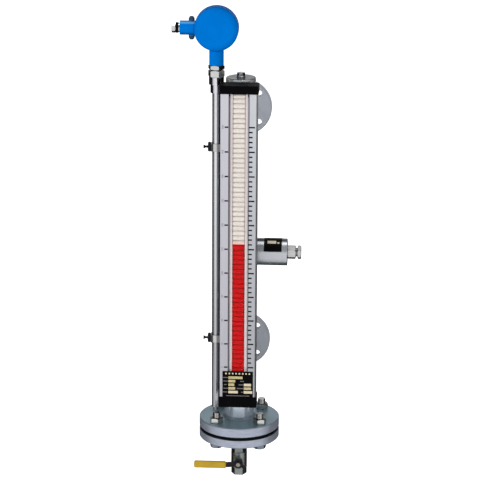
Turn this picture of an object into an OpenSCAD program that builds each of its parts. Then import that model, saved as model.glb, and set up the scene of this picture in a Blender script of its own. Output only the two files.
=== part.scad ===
// Magnetic level gauge: a float chamber with a flip-roller indicator, a level transmitter,
// a limit switch and a drain valve.
// The origin is the centre of the lower process flange's mating face.
// X points right, Y back to the vessel and Z up. Sizes are in millimetres.

/* [Chamber] */
// Distance between the two process connections
connection_pitch = 500; // [460:10:700]
// Distance from the mating faces to the chamber's axis
face_to_axis = 125; // [115:1:160]
// Outer diameter of the chamber tube
chamber_od = 60.3; // [58:0.1:62]
// Wall of the chamber tube
chamber_wall = 2.8; // [2:0.1:3.5]
// Height of the chamber's top above the upper connection
chamber_rise = 87; // [85:1:100]
// Depth of the chamber flange's top below the lower connection
chamber_drop = 128; // [126:1:150]
// Thickness of the end cap's rim
end_plate_t = 12; // [10:1:15]
// Radius of the end cap's top edge
end_plate_edge = 3; // [1:0.5:5]
// Depth of the end cap's spigot in the tube
end_plate_spigot = 6; // [4:1:10]
// Diameter of the vent plug's thread
vent_thread_d = 10; // [8:1:12]
// Width across flats of the vent plug
vent_hex = 14; // [13:1:19]
// Height of the vent plug's hexagon
vent_hex_h = 7; // [5:1:10]
// Diameter of the vent plug's collar
vent_collar_d = 18; // [17:1:22]
// Height of the vent plug's collar
vent_collar_h = 2.5; // [2:0.5:4]

/* [Process connections] */
// Outer diameter of a nozzle
nozzle_od = 33.7; // [32:0.1:36]
// Wall of a nozzle
nozzle_wall = 3.2; // [2.5:0.1:4]
// Diameter of a process flange
process_flange_d = 115; // [110:1:125]
// Thickness of a process flange with its raised face
process_flange_t = 18; // [16:1:22]
// Diameter of the raised face
raised_face_d = 66; // [60:1:68]
// Height of the raised face
raised_face_h = 2; // [1:0.5:3]
// Bolt circle of a process flange
process_bolt_circle = 85; // [84:1:90]
// Diameter of the process bolt holes
process_bolt_hole = 14; // [12:1:15]
// Depth left under the nozzle's socket
socket_land = 6; // [4:1:8]

/* [Chamber flange joint] */
// Diameter of the two flanges
body_flange_d = 165; // [155:1:175]
// Thickness of the chamber flange
body_flange_t = 20; // [18:1:24]
// Thickness of the gasket
gasket_t = 5; // [3:0.5:6]
// Distance of the gasket's edge inside the flange's edge
gasket_inset = 3; // [1:0.5:5]
// Thickness of the drain flange
drain_flange_t = 18; // [16:1:24]
// Bolt circle of the two flanges
body_bolt_circle = 125; // [120:1:128]
// Bolts on each flange
flange_bolts_n = 4; // [4:4:8]
// Bolt diameter
bolt_d = 16; // [14:1:17]
// Bolt hole diameter
bolt_hole_d = 18; // [17.5:0.5:20]
// Width across flats of bolt heads and nuts
bolt_hex = 24; // [22:1:27]
// Height of a bolt head
bolt_head_h = 11; // [9:1:13]
// Height of a nut
nut_h = 11; // [9:1:14]
// Length of bolt above its nut
bolt_tail = 10; // [5:1:14]
// Leg of the weld round the tube
weld_leg = 5; // [3:0.5:7]
// Distance of the tube's end above the flange's underside
tube_setback = 4; // [3:1:6]
// Bevel on the flanges' edges
flange_bevel = 1.5; // [0.5:0.5:2]

/* [Float] */
// Level that the indicator shows, above the scale's zero
level = 255; // [200:5:300]
// Diameter of the float
float_d = 46; // [40:1:48]
// Wall of the float
float_wall = 0.6; // [0.5:0.1:1.2]
// Float's length below the level
float_below = 95; // [80:1:105]
// Float's length above the level
float_above = 45; // [35:1:60]
// Corner radius of the float's ends
float_corner = 14; // [8:1:18]
// Guide fins round the float
fins_n = 4; // [3:1:6]
// Thickness of a guide fin
fin_t = 2; // [1.5:0.1:3]
// Height of the float's magnet ring
magnet_h = 10; // [8:1:16]
// Inner diameter of the magnet ring
magnet_id = 36; // [30:1:38]

/* [Drain valve] */
// Outer diameter of the drain pipe
drain_pipe_d = 21.3; // [20:0.1:22]
// Inner diameter of the drain pipe
drain_pipe_id = 15.8; // [14:0.1:16.5]
// Length of pipe held in the flange and in the valve
pipe_grip = 12; // [9:1:14]
// Length of pipe between the drain flange and the valve
pipe_gap = 22; // [15:1:40]
// Diameter of the ball
ball_d = 24; // [22:0.5:25]
// Bore of the valve
valve_bore = 14; // [10:0.5:15]
// Diameter of the valve's ball chamber
ball_room_d = 26.5; // [26:0.5:28]
// Diameter of the valve's barrel
barrel_d = 33; // [32:1:37]
// Width across flats of the valve's ends
valve_hex = 28; // [27:1:30]
// Length of each valve end's hexagon
valve_hex_len = 15; // [14:1:18]
// Length of the barrel on each side of the ball's centre
barrel_half = 17; // [16:1:20]
// Thickness of a seat ring
seat_t = 7; // [6:0.5:8]
// Outlet thread's bore
outlet_d = 18.6; // [17:0.1:20]
// Depth of the outlet thread
outlet_depth = 13; // [10:1:15]
// Diameter of the stem
stem_d = 8; // [7:0.5:9]
// Thickness of the stem's tang in the ball
tang_t = 3; // [2:0.5:4]
// Depth of the tang in the ball
tang_depth = 3; // [2:0.5:4]
// Diameter of the stem's boss
boss_d = 16; // [15:1:18]
// Distance of the boss's end from the valve's axis
boss_reach = 25; // [22:1:30]
// Width across flats of the stem's packing nut
packing_hex = 14; // [13:1:15]
// Height of the packing nut
packing_h = 5; // [4:0.5:7]
// Thickness of the lever
lever_t = 3; // [2:0.5:4]
// Width of the lever's arm
lever_w = 11; // [8:1:12]
// Diameter of the lever's hub
lever_hub_d = 20; // [18:1:24]
// Reach of the lever's stop tab
lever_tab = 17; // [14:1:20]
// Distance from the stem to the near end of the grip
grip_start = 25; // [20:1:30]
// Length of the grip
grip_len = 67; // [60:1:90]
// Distance of the grip's middle below the stem
grip_drop = 2.5; // [0:0.5:4]
// Height of the grip
grip_h = 15.5; // [14.5:0.5:18]
// Thickness of the grip
grip_t = 8; // [6:0.5:10]
// Corner radius of the grip
grip_corner = 5; // [3:0.5:6]
// Width across flats of the lever's nut
lever_nut_hex = 11; // [10:1:13]
// Height of the lever's nut
lever_nut_h = 5; // [4:0.5:7]

/* [Indicator] */
// Width of the indicator housing
housing_w = 73; // [71:1:78]
// Distance from the chamber's axis to the housing's front
housing_front = 65; // [63:0.5:70]
// Gap between the chamber and the housing's back
housing_gap = 1.6; // [1.5:0.1:2]
// Side wall of the housing
housing_wall = 3; // [2:0.5:4]
// Thickness of the housing's front lips and back
housing_lip = 3.5; // [2.5:0.5:4]
// Width of the slot in the housing's front
slot_w = 39; // [37:0.5:41]
// Height of the housing's top above the upper connection
housing_rise = 66.5; // [65:0.5:75]
// Depth of the housing's bottom below the lower connection
housing_drop = 64; // [62:1:75]
// Distance from the centre line to a saddle rib
rib_x = 16; // [14:1:18]
// Width of a saddle rib
rib_w = 6; // [4:1:7]
// Thickness of the window
window_t = 2; // [1.5:0.5:3]
// Width of window held behind each lip
window_grip = 3; // [2:0.5:5]
// Height of the top end cap
top_cap_h = 16.5; // [14:0.5:24]
// Height of the bottom end cap
bottom_cap_h = 22; // [14:1:26]
// Distance that the end caps stand out round the housing
cap_over = 1.7; // [1:0.1:3]
// Depth of the end caps' lugs in the housing
cap_lug = 6; // [4:1:10]
// Thickness of a scale plate
scale_t = 1; // [0.8:0.1:1.5]
// Distance between scale divisions
division = 10; // [10:5:20]
// Small divisions in a numbered one
divisions_per_major = 5; // [5:5:10]
// Length of a numbered division mark
major_mark = 12; // [10:0.5:14]
// Length of a small division mark
minor_mark = 7; // [5:0.5:9]
// Thickness of a mark
mark_w = 2.2; // [1:0.1:2.6]
// Depth of a mark
mark_depth = 0.3; // [0.2:0.1:0.5]
// Distance of the left marks from the slot
left_mark_inset = 1.5; // [1:0.5:4]
// Width of the nameplate
nameplate_w = 62; // [56:1:68]
// Distance of the nameplate's top below the scale's zero
nameplate_drop = 8.5; // [6:0.5:12]
// Thickness of the nameplate
nameplate_t = 0.8; // [0.5:0.1:1.5]

/* [Rollers] */
// Distance between rollers
roller_pitch = 10; // [10:0.5:12]
// Diameter of a roller
roller_d = 9.4; // [8.5:0.1:9.6]
// Length of a roller
roller_len = 24.2; // [20:0.1:25]
// Bevel on a roller's ends
roller_bevel = 0.8; // [0.4:0.1:1.5]
// Diameter of a roller's pins
pin_d = 3; // [2:0.1:4]
// Length of a roller's pins
pin_len = 3.4; // [2.5:0.1:4]
// Distance between a roller's ends and the rails
roller_side_gap = 0.5; // [0.3:0.1:1]
// Width of a rail
rail_w = 4.8; // [4.5:0.1:5.5]
// Thickness of the tray's back
tray_t = 2; // [1.5:0.5:3]
// Rollers that can flip, half of them below the level
flip_n = 6; // [2:2:6]

/* [Straps] */
// Height of a strap
strap_h = 12; // [10:1:14]
// Thickness of a strap
strap_t = 1; // [0.8:0.1:1.1]
// Height of the indicator's lower strap above the lower connection
lower_strap_z = 130; // [110:1:150]
// Height of the indicator's upper strap above the lower connection
upper_strap_z = 370; // [330:1:400]
// Length of a strap's hooked end
hook_len = 2.6; // [2:0.1:2.8]
// Thickness of the housing's lips that hold the hooks
hook_lip = 1.5; // [1:0.1:2]
// Width of the ears that carry those lips
hook_ear = 2; // [1.5:0.1:2.5]
// Length of a strap's lock
lock_len = 18; // [14:1:24]
// Depth of a strap's lock
lock_d = 7; // [5:1:9]

/* [Transmitter] */
// Distance of the sensor tube to the left of the chamber's axis
sensor_x = 48.5; // [46:0.5:54]
// Distance of the sensor tube in front of the chamber's axis
sensor_front = 5; // [0:1:8]
// Outer diameter of the sensor tube
sensor_od = 17; // [14:0.1:17]
// Wall of the sensor tube
sensor_wall = 1.2; // [1:0.1:1.6]
// Depth of the sensor tube's end below the lower connection
sensor_drop = 108; // [90:1:112]
// Diameter of the sensor tube's tip
tip_d = 8; // [6:1:10]
// Length of the sensor tube's tip
tip_len = 9; // [6:1:10]
// Height of the lower collar's foot above the upper connection
collar_rise = 56; // [50:1:70]
// Diameter of the lower collar
lower_collar_d = 24; // [21:1:26]
// Height of the lower collar
lower_collar_h = 17; // [12:1:22]
// Diameter of the upper collar
upper_collar_d = 30; // [27:1:32]
// Height of the upper collar
upper_collar_h = 15; // [10:1:20]
// Diameter of the conduit through the nuts
conduit_d = 20; // [19.5:0.5:21]
// Length of conduit in the head's neck
conduit_grip = 14; // [10:1:18]
// Width across flats of the conduit nuts
conduit_hex = 29; // [27:1:30]
// Height of the lower conduit nut
lower_nut_h = 14; // [10:1:18]
// Height of the upper conduit nut
upper_nut_h = 9; // [7:1:12]
// Turn of the conduit nuts
nut_turn = 10; // [0:1:30]
// Gap between the two conduit nuts
nut_gap = 1; // [0.5:0.1:2]
// Width of the reed chain's board
board_w = 9; // [7:0.5:10]
// Thickness of the reed chain's board
board_t = 1.6; // [1:0.1:2]
// Distance between reed switches
reed_pitch = 20; // [10:1:40]
// Diameter of a reed switch
reed_d = 2.4; // [2:0.1:3]
// Length of a reed switch
reed_len = 14; // [8:1:16]
// Height of the upper tube clamp above the lower connection
upper_clamp_z = 445; // [420:1:460]
// Height of the lower tube clamp above the lower connection
lower_clamp_z = 42; // [35:1:70]
// Width and depth of a tube clamp
clamp_w = 21; // [20:0.5:24]
// Height of a tube clamp
clamp_h = 15.4; // [14:0.1:18]
// Width of a tube clamp's foot
clamp_foot = 16; // [14:1:20]
// Diameter of a clamp screw's knob
knob_d = 20; // [16:1:22]
// Thickness of a clamp screw's knob
knob_t = 6; // [4:0.5:8]
// Diameter of a clamp screw's neck and thread
screw_d = 4.4; // [4:0.1:5]
// Length of a clamp screw's neck
screw_neck = 5; // [3:0.5:7]
// Diameter of a clamp screw's flared end
flare_d = 9; // [7:0.5:11]
// Length of a clamp screw's flared end
flare_len = 4; // [3:0.5:6]

/* [Transmitter head] */
// Diameter of the head
head_d = 88; // [84:1:94]
// Height of the head's centre above the neck's foot
head_rise = 73; // [70:1:80]
// Diameter of the neck
neck_d = 29; // [28:0.5:32]
// Depth of the head's rim behind its centre plane
rim_back = 6; // [4:1:9]
// Depth of the head's rim in front of its centre plane
rim_front = 6; // [4:1:9]
// Depth of the bowl behind the rim
bowl_depth = 22; // [18:1:28]
// Edge radius of the bowl
bowl_edge = 18; // [12:1:20]
// Wall of the head
head_wall = 5; // [4:0.5:6]
// Depth of the cover in front of the rim
cover_depth = 20; // [16:1:26]
// Edge radius of the cover
cover_edge = 14; // [8:1:15]
// Length of the cover's spigot in the head
cover_spigot = 5; // [4:1:7]
// Wall of the cover's spigot
spigot_wall = 3; // [2:0.5:4]
// Distance of the cable boss's end from the head's centre
cable_boss_reach = 72; // [68:1:80]
// Diameter of the cable boss
cable_boss_d = 28; // [26:1:30]
// Bore of the cable boss
cable_boss_bore = 16; // [14:0.5:18]
// Distance of the lugs from the head's centre
lug_reach = 49; // [48:0.5:52]
// Diameter of a lug
lug_d = 12; // [10:0.5:13]
// Diameter of a lug's end
lug_end_d = 7; // [5:0.5:9]
// Distance of a lug's end from the boss's axis
lug_rise = 23; // [20:0.5:25]
// Length of a lug's tapered end
lug_taper = 4; // [2:0.5:5]
// Diameter of the gland's flange and nut
gland_d = 18; // [17:0.5:20]
// Length of the gland's flange
gland_flange_t = 3; // [2:0.5:4]
// Diameter of the gland's seal ring
gland_ring_d = 21; // [20:0.5:23]
// Thickness of the gland's seal ring
gland_ring_t = 5; // [4:0.5:7]
// Length of the gland's nut
gland_nut_len = 8; // [6:0.5:10]
// Cable bore of the gland
gland_bore = 9; // [8:0.5:10]
// Width of the terminal block
terminal_w = 40; // [34:1:44]
// Height of the terminal block
terminal_h = 20; // [16:1:24]
// Depth of the terminal block
terminal_d = 12; // [10:1:14]
// Terminals on the block
terminal_n = 3; // [2:1:4]

/* [Limit switch] */
// Height of the switch's axis above the lower connection
switch_z = 227; // [200:1:260]
// Diameter of the switch
switch_d = 55; // [50:1:57]
// Distance from the chamber's axis to the switch's near end
switch_start = 33; // [32.5:0.5:35]
// Length of the switch's body
switch_len = 53; // [48:1:60]
// Thickness of the switch's end cap
switch_cap_t = 10; // [8:1:14]
// Wall of the switch
switch_wall = 4; // [3:0.5:6]
// Depth of the switch's solid foot
switch_foot = 10; // [8:1:14]
// Width of the switch's saddle
saddle_w = 28; // [24:1:32]
// Length of the switch's spigot in its body
switch_spigot = 6; // [4:1:8]
// Length of the label
label_len = 36; // [30:1:40]
// Distance of the label from the end cap
label_gap = 1; // [0.5:0.5:4]
// Thickness of the label
label_t = 0.4; // [0.3:0.1:0.6]
// Angle of the label's front edge above the horizontal
label_from = 16; // [0:1:25]
// Angle of the label's rear edge above the horizontal
label_to = 125; // [90:1:140]
// Width across flats of the switch's gland
switch_gland_hex = 25; // [24:1:28]
// Length of the gland's hexagon
switch_gland_len = 17; // [12:1:20]
// Diameter of the gland's neck
switch_neck_d = 19; // [18:0.5:21]
// Length of the gland's neck between hexagon and nut
switch_neck_len = 3.5; // [2:0.5:5]
// Length of the gland's nut
switch_nut_len = 7.5; // [6:0.5:10]
// Cable bore of the switch's gland
switch_bore = 10; // [8:0.5:12]
// Width and height of the switch element
element_w = 18; // [14:1:22]
// Length of the switch element
element_len = 32; // [24:1:36]

/* [Fits] */
// Clearance round pieces that are fitted together
fit = 0.15; // [0.1:0.01:0.2]
// Clearance round a pin or stem that turns
run = 0.05; // [0.03:0.01:0.08]
// Clearance between pieces that move past each other
clear = 0.3; // [0.2:0.05:0.4]

/* [Hidden] */
$fn = 48;
// Length by which a cut runs past a face
past = 1;
chamber_r = chamber_od / 2;
chamber_id = chamber_od - 2 * chamber_wall;
nozzle_id = nozzle_od - 2 * nozzle_wall;
chamber_top = connection_pitch + chamber_rise;
flange_top = -chamber_drop;
gasket_top = flange_top - body_flange_t;
drain_top = gasket_top - gasket_t;
drain_bottom = drain_top - drain_flange_t;
valve_top = drain_bottom - pipe_gap;
valve_z = valve_top - barrel_half - valve_hex_len;
lever_y = boss_reach + packing_h + clear;
stem_end = lever_y + lever_t + lever_nut_h;
seat_end = ball_d / 2 + clear;
housing_back = chamber_r + housing_gap;
housing_bottom = -housing_drop;
housing_top = connection_pitch + housing_rise;
housing_len = housing_top - housing_bottom;
inside_w = housing_w - 2 * housing_wall;
inside_front = housing_front - housing_lip;
inside_back = housing_back + housing_lip;
window_back = inside_front - fit - window_t;
rail_front = window_back - fit;
rail_in = roller_len / 2 + roller_side_gap;
tray_w = 2 * (rail_in + rail_w);
tray_back = inside_back + fit;
roller_y = rail_front - clear - roller_d / 2;
lower_rollers_n = floor((level + housing_drop) / roller_pitch) - flip_n / 2;
upper_rollers_n = floor((housing_top - level) / roller_pitch) - flip_n / 2;
flip_bottom = level - roller_pitch * flip_n / 2;
flip_top = level + roller_pitch * flip_n / 2;
marks_n = floor(connection_pitch / division);
cap_w = housing_w + 2 * cap_over;
cap_front = housing_front + scale_t + cap_over;
strap_r = chamber_r + fit;
// The hooks lie between the housing's back and its lips
hook_front = housing_back - fit;
lip_front = hook_front - strap_t - fit;
ear_out = strap_r - hook_len - clear;
strap_clear_r = strap_r + strap_t + clear;
clamp_zs = [lower_clamp_z, upper_clamp_z];
sensor_id = sensor_od - 2 * sensor_wall;
collar_foot = connection_pitch + collar_rise;
nuts_foot = collar_foot + lower_collar_h + upper_collar_h;
neck_foot = nuts_foot + lower_nut_h + nut_gap + upper_nut_h;
head_z = neck_foot + head_rise;
sensor_top = nuts_foot;
board_len = sensor_top + sensor_drop - 2 * sensor_wall;
head_room_d = head_d - 2 * head_wall;
switch_end = switch_start + switch_len;
switch_room_d = switch_d - 2 * switch_wall;

function roller_name(i) = str("roller_", i);

// Places

module at_axis(z = 0) {
    translate([0, -face_to_axis, z]) children();
}

module at_sensor(z = 0) {
    at_axis(z) translate([-sensor_x, -sensor_front, 0]) children();
}

module at_valve() {
    at_axis(valve_z) children();
}

module at_head() {
    at_sensor(head_z) children();
}

module at_switch() {
    at_axis(switch_z) children();
}

// Turns the Z axis to the front, the back, the right or the left
module to_front() {
    rotate([90, 0, 0]) children();
}

module to_back() {
    rotate([-90, 0, 0]) children();
}

module to_right() {
    rotate([0, 90, 0]) children();
}

module to_left() {
    rotate([0, -90, 0]) children();
}

// Shapes

module ring(od, id, h) {
    difference() {
        cylinder(d = od, h = h);
        translate([0, 0, -past]) cylinder(d = id, h = h + 2 * past);
    }
}

module hexagon(across_flats, h) {
    cylinder(d = across_flats / cos(30), h = h, $fn = 6);
}

module hex_nut(across_flats, bore, h) {
    difference() {
        hexagon(across_flats, h);
        translate([0, 0, -past]) cylinder(d = bore, h = h + 2 * past);
    }
}

module bevelled_disc(d, h, bevel) {
    r = d / 2;
    rotate_extrude()
        polygon([[0, 0], [r - bevel, 0], [r, bevel], [r, h - bevel], [r - bevel, h], [0, h]]);
}

// Disc with its upper edge rounded
module rounded_disc(d, h, edge) {
    rotate_extrude() {
        square([d / 2, h - edge]);
        square([d / 2 - edge, h]);
        translate([d / 2 - edge, h - edge])
            intersection() {
                circle(edge);
                square(edge);
            }
    }
}

// Cylinder with both ends rounded
module capsule(d, h, corner) {
    for (side = [0, 1])
        translate([0, 0, h / 2]) mirror([0, 0, side]) rounded_disc(d, h / 2, corner);
}

// Places on a bolt circle, turned to straddle the axes
module on_bolt_circle(circle_d, n) {
    for (i = [0 : n - 1])
        rotate([0, 0, (i + 0.5) * 360 / n])
            translate([circle_d / 2, 0, 0]) children();
}

module bolt_holes(circle_d, n, hole_d, h) {
    on_bolt_circle(circle_d, n)
        translate([0, 0, -past]) cylinder(d = hole_d, h = h + 2 * past);
}

// Chamber

module chamber_tube() {
    foot = gasket_top + tube_setback;
    color("lightsteelblue")
        at_axis() difference() {
            translate([0, 0, foot]) ring(chamber_od, chamber_id, chamber_top - end_plate_t - foot);
            for (z = [0, connection_pitch])
                translate([0, 0, z]) to_back() cylinder(d = nozzle_id, h = chamber_od);
        }
}

module chamber_cap() {
    color("slategray")
        at_axis(chamber_top - end_plate_t) difference() {
            union() {
                rounded_disc(chamber_od, end_plate_t, end_plate_edge);
                translate([0, 0, -end_plate_spigot])
                    cylinder(d = chamber_id - 2 * fit, h = end_plate_spigot + past);
            }
            translate([0, 0, -end_plate_spigot - past])
                cylinder(d = vent_thread_d, h = end_plate_t + end_plate_spigot + 2 * past);
        }
}

module vent_plug() {
    color("silver")
        at_axis(chamber_top) {
            translate([0, 0, -end_plate_t]) cylinder(d = vent_thread_d - 2 * fit, h = end_plate_t + past);
            cylinder(d = vent_collar_d, h = vent_collar_h);
            translate([0, 0, vent_collar_h]) hexagon(vent_hex, vent_hex_h);
        }
}

module nozzle(z) {
    color("silver")
        at_axis(z) difference() {
            to_back() ring(nozzle_od, nozzle_id, face_to_axis - socket_land);
            translate([0, 0, -nozzle_od]) cylinder(r = chamber_r + fit, h = 2 * nozzle_od);
        }
}

module process_flange(z) {
    plate_t = process_flange_t - raised_face_h;
    color("darkgray")
        translate([0, -process_flange_t, z]) to_back() difference() {
            union() {
                bevelled_disc(process_flange_d, plate_t, flange_bevel);
                cylinder(d = raised_face_d, h = process_flange_t);
            }
            bolt_holes(process_bolt_circle, 4, process_bolt_hole, process_flange_t);
            translate([0, 0, -past]) cylinder(d = nozzle_id, h = process_flange_t + 2 * past);
            translate([0, 0, -past])
                cylinder(d = nozzle_od + 2 * fit, h = process_flange_t - socket_land + past);
        }
}

// Chamber flange joint

module chamber_flange() {
    bore = chamber_od + 2 * fit;
    color("slategray")
        at_axis(gasket_top) {
            difference() {
                bevelled_disc(body_flange_d, body_flange_t, flange_bevel);
                translate([0, 0, -past]) cylinder(d = bore, h = body_flange_t + 2 * past);
                bolt_holes(body_bolt_circle, flange_bolts_n, bolt_hole_d, body_flange_t);
            }
            translate([0, 0, body_flange_t]) rotate_extrude()
                translate([bore / 2, 0]) polygon([[0, 0], [weld_leg, 0], [0, weld_leg]]);
        }
}

module flange_gasket() {
    color("black")
        at_axis(drain_top) difference() {
            ring(body_flange_d - 2 * gasket_inset, chamber_id, gasket_t);
            bolt_holes(body_bolt_circle, flange_bolts_n, bolt_hole_d, gasket_t);
        }
}

module drain_flange() {
    color("slategray")
        at_axis(drain_bottom) difference() {
            bevelled_disc(body_flange_d, drain_flange_t, flange_bevel);
            translate([0, 0, -past]) cylinder(d = drain_pipe_d + 2 * fit, h = drain_flange_t + 2 * past);
            bolt_holes(body_bolt_circle, flange_bolts_n, bolt_hole_d, drain_flange_t);
        }
}

module flange_bolts() {
    stack = flange_top - drain_bottom;
    color("gainsboro")
        at_axis(drain_bottom) on_bolt_circle(body_bolt_circle, flange_bolts_n) {
            translate([0, 0, -bolt_head_h]) hexagon(bolt_hex, bolt_head_h);
            cylinder(d = bolt_d, h = stack + nut_h + bolt_tail);
        }
}

module flange_nuts() {
    color("gainsboro")
        at_axis(flange_top) on_bolt_circle(body_bolt_circle, flange_bolts_n)
            hex_nut(bolt_hex, bolt_d + 2 * fit, nut_h);
}

// Float

// The fins keep the float in the middle of the tube and let the liquid past
module float_shell() {
    len = float_below + float_above;
    fin_in = (float_d - float_wall) / 2;
    fin_out = chamber_id / 2 - clear;
    color("lightgray")
        at_axis(level - float_below) {
            difference() {
                capsule(float_d, len, float_corner);
                translate([0, 0, float_wall])
                    capsule(float_d - 2 * float_wall, len - 2 * float_wall, float_corner - float_wall);
            }
            for (i = [0 : fins_n - 1])
                rotate(i * 360 / fins_n) translate([fin_in, -fin_t / 2, float_corner])
                    cube([fin_out - fin_in, fin_t, len - 2 * float_corner]);
        }
}

module float_magnet() {
    color("dimgray")
        at_axis(level - magnet_h / 2)
            ring(float_d - 2 * float_wall - 2 * fit, magnet_id, magnet_h);
}

// Drain valve

module drain_pipe() {
    color("gray")
        at_axis(valve_top - pipe_grip)
            ring(drain_pipe_d, drain_pipe_id, pipe_gap + 2 * pipe_grip);
}

module valve_body() {
    shell_h = 2 * barrel_half;
    color("dimgray")
        at_valve() difference() {
            union() {
                translate([0, 0, -barrel_half]) cylinder(d = barrel_d, h = shell_h);
                translate([0, 0, barrel_half]) hexagon(valve_hex, valve_hex_len);
                to_front() cylinder(d = boss_d, h = boss_reach);
            }
            cylinder(d = valve_bore, h = shell_h + valve_hex_len);
            translate([0, 0, barrel_half + valve_hex_len - pipe_grip])
                cylinder(d = drain_pipe_d + 2 * fit, h = pipe_grip + past);
            translate([0, 0, -barrel_half - past])
                cylinder(d = ball_room_d, h = barrel_half + past + seat_end + fit);
            to_front() cylinder(d = stem_d + 2 * run, h = boss_reach + past);
        }
}

module valve_end() {
    color("dimgray")
        at_valve() translate([0, 0, -barrel_half]) difference() {
            union() {
                cylinder(d = ball_room_d - 2 * fit, h = barrel_half - seat_end - fit);
                mirror([0, 0, 1]) hexagon(valve_hex, valve_hex_len);
            }
            translate([0, 0, -valve_hex_len - past])
                cylinder(d = valve_bore, h = barrel_half + valve_hex_len + 2 * past);
            translate([0, 0, -valve_hex_len - past]) cylinder(d = outlet_d, h = outlet_depth + past);
        }
}

module valve_ball() {
    slot_t = tang_t + 2 * fit;
    color("silver")
        at_valve() difference() {
            to_right() rotate_extrude() difference() {
                circle(d = ball_d);
                translate([-ball_d, -ball_d]) square([ball_d + valve_bore / 2, 2 * ball_d]);
            }
            translate([-slot_t / 2, -ball_d / 2 - past, -ball_d / 2])
                cube([slot_t, tang_depth + past + fit, ball_d]);
        }
}

module valve_seats() {
    color("white")
        at_valve() for (side = [0, 1]) mirror([0, 0, side])
            difference() {
                translate([0, 0, seat_end - seat_t]) ring(ball_room_d - 2 * fit, valve_bore, seat_t);
                sphere(d = ball_d + 2 * clear);
            }
}

module valve_stem() {
    tang_h = stem_d / 2;
    color("silver")
        at_valve() {
            to_front() translate([0, 0, ball_d / 2 + fit])
                cylinder(d = stem_d, h = stem_end - ball_d / 2 - fit);
            translate([-tang_t / 2, -ball_d / 2 - past, -tang_h / 2])
                cube([tang_t, tang_depth + past, tang_h]);
        }
}

module packing_nut() {
    color("silver")
        at_valve() translate([0, -boss_reach, 0]) to_front()
            hex_nut(packing_hex, stem_d + 2 * run, packing_h);
}

// The arm points left and the tab right and down, seen from the front.
// The arm slopes from the stem to the grip, and runs level in it.
module lever_outline() {
    tab_w = lever_hub_d / 3;
    arm_end = grip_start + grip_len - grip_corner;
    circle(d = lever_hub_d);
    polygon([
        [0, lever_w / 2], [-grip_start, lever_w / 2 - grip_drop], [-arm_end, lever_w / 2 - grip_drop],
        [-arm_end, -lever_w / 2 - grip_drop], [-grip_start, -lever_w / 2 - grip_drop], [0, -lever_w / 2]
    ]);
    rotate(-30) translate([0, -tab_w / 2]) square([lever_tab, tab_w]);
}

module valve_lever() {
    color("darkslategray")
        at_valve() translate([0, -lever_y, 0]) to_front() difference() {
            linear_extrude(lever_t) lever_outline();
            translate([0, 0, -past]) cylinder(d = stem_d + 2 * fit, h = lever_t + 2 * past);
        }
}

module grip_outline() {
    translate([grip_corner, 0]) square([grip_len - 2 * grip_corner, grip_h]);
    translate([0, grip_corner]) square([grip_len, grip_h - 2 * grip_corner]);
    for (x = [grip_corner, grip_len - grip_corner], y = [grip_corner, grip_h - grip_corner])
        translate([x, y]) circle(grip_corner);
}

module lever_grip() {
    middle = lever_y + lever_t / 2;
    slot_w = lever_w + 2 * fit;
    slot_t = lever_t + 2 * fit;
    color("gold")
        at_valve() translate([-grip_start - grip_len, -middle, -grip_drop]) difference() {
            translate([0, grip_t / 2, -grip_h / 2]) to_front() linear_extrude(grip_t) grip_outline();
            translate([grip_corner - fit, -slot_t / 2, -slot_w / 2]) cube([grip_len, slot_t, slot_w]);
        }
}

module lever_nut() {
    color("silver")
        at_valve() translate([0, -lever_y - lever_t, 0]) to_front()
            hex_nut(lever_nut_hex, stem_d + 2 * fit, lever_nut_h);
}

// Indicator

// Section of the housing, with the chamber's axis at the origin and the front at -Y
module housing_section() {
    difference() {
        union() {
            translate([-housing_w / 2, -housing_front]) square([housing_w, housing_front - housing_back]);
            for (side = [0, 1]) mirror([side, 0]) {
                translate([rib_x, -housing_back - past])
                    square([rib_w, housing_back + past - chamber_r / 2]);
                translate([ear_out - hook_ear, -housing_back - past])
                    square([hook_ear, housing_back + past - lip_front + hook_lip]);
                translate([ear_out - hook_ear, -lip_front])
                    square([strap_r - clear - ear_out + hook_ear, hook_lip]);
            }
        }
        translate([-inside_w / 2, -inside_front]) square([inside_w, inside_front - inside_back]);
        translate([-slot_w / 2, -housing_front - past]) square([slot_w, housing_lip + 2 * past]);
        circle(r = chamber_r + fit);
    }
}

module indicator_housing() {
    color("silver")
        at_axis() difference() {
            translate([0, 0, housing_bottom]) linear_extrude(housing_len) housing_section();
            for (z = concat(clamp_zs, [switch_z]))
                translate([0, 0, z - strap_h / 2 - clear])
                    cylinder(r = strap_clear_r, h = strap_h + 2 * clear);
        }
}

module indicator_window() {
    w = slot_w + 2 * window_grip;
    color([0.8, 0.9, 1, 0.3])
        at_axis(housing_bottom) translate([-w / 2, -inside_front + fit, 0]) cube([w, window_t, housing_len]);
}

// Block over one end of the housing, with two lugs inside it
module end_cap(h) {
    lug_w = inside_w / 2 - tray_w / 2 - 2 * fit;
    lug_depth = window_back - inside_back - 2 * fit;
    color("black") {
        translate([-cap_w / 2, -cap_front, 0]) cube([cap_w, cap_front - housing_back, h]);
        for (side = [0, 1]) mirror([side, 0, 0])
            translate([tray_w / 2 + fit, -window_back + fit, -cap_lug])
                cube([lug_w, lug_depth, cap_lug + past]);
    }
}

module top_end_cap() {
    at_axis(housing_top) end_cap(top_cap_h);
}

module bottom_end_cap() {
    at_axis(housing_bottom) mirror([0, 0, 1]) end_cap(bottom_cap_h);
}

module scale_plate() {
    translate([slot_w / 2, -housing_front - scale_t, housing_bottom])
        cube([housing_w / 2 - slot_w / 2, scale_t, housing_len]);
}

// Groove for one mark, running outwards from the slot
module mark_groove(z, inset, len) {
    translate([slot_w / 2 + inset, -housing_front - scale_t - past, z - mark_w / 2])
        cube([len, past + mark_depth, mark_w]);
}

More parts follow.
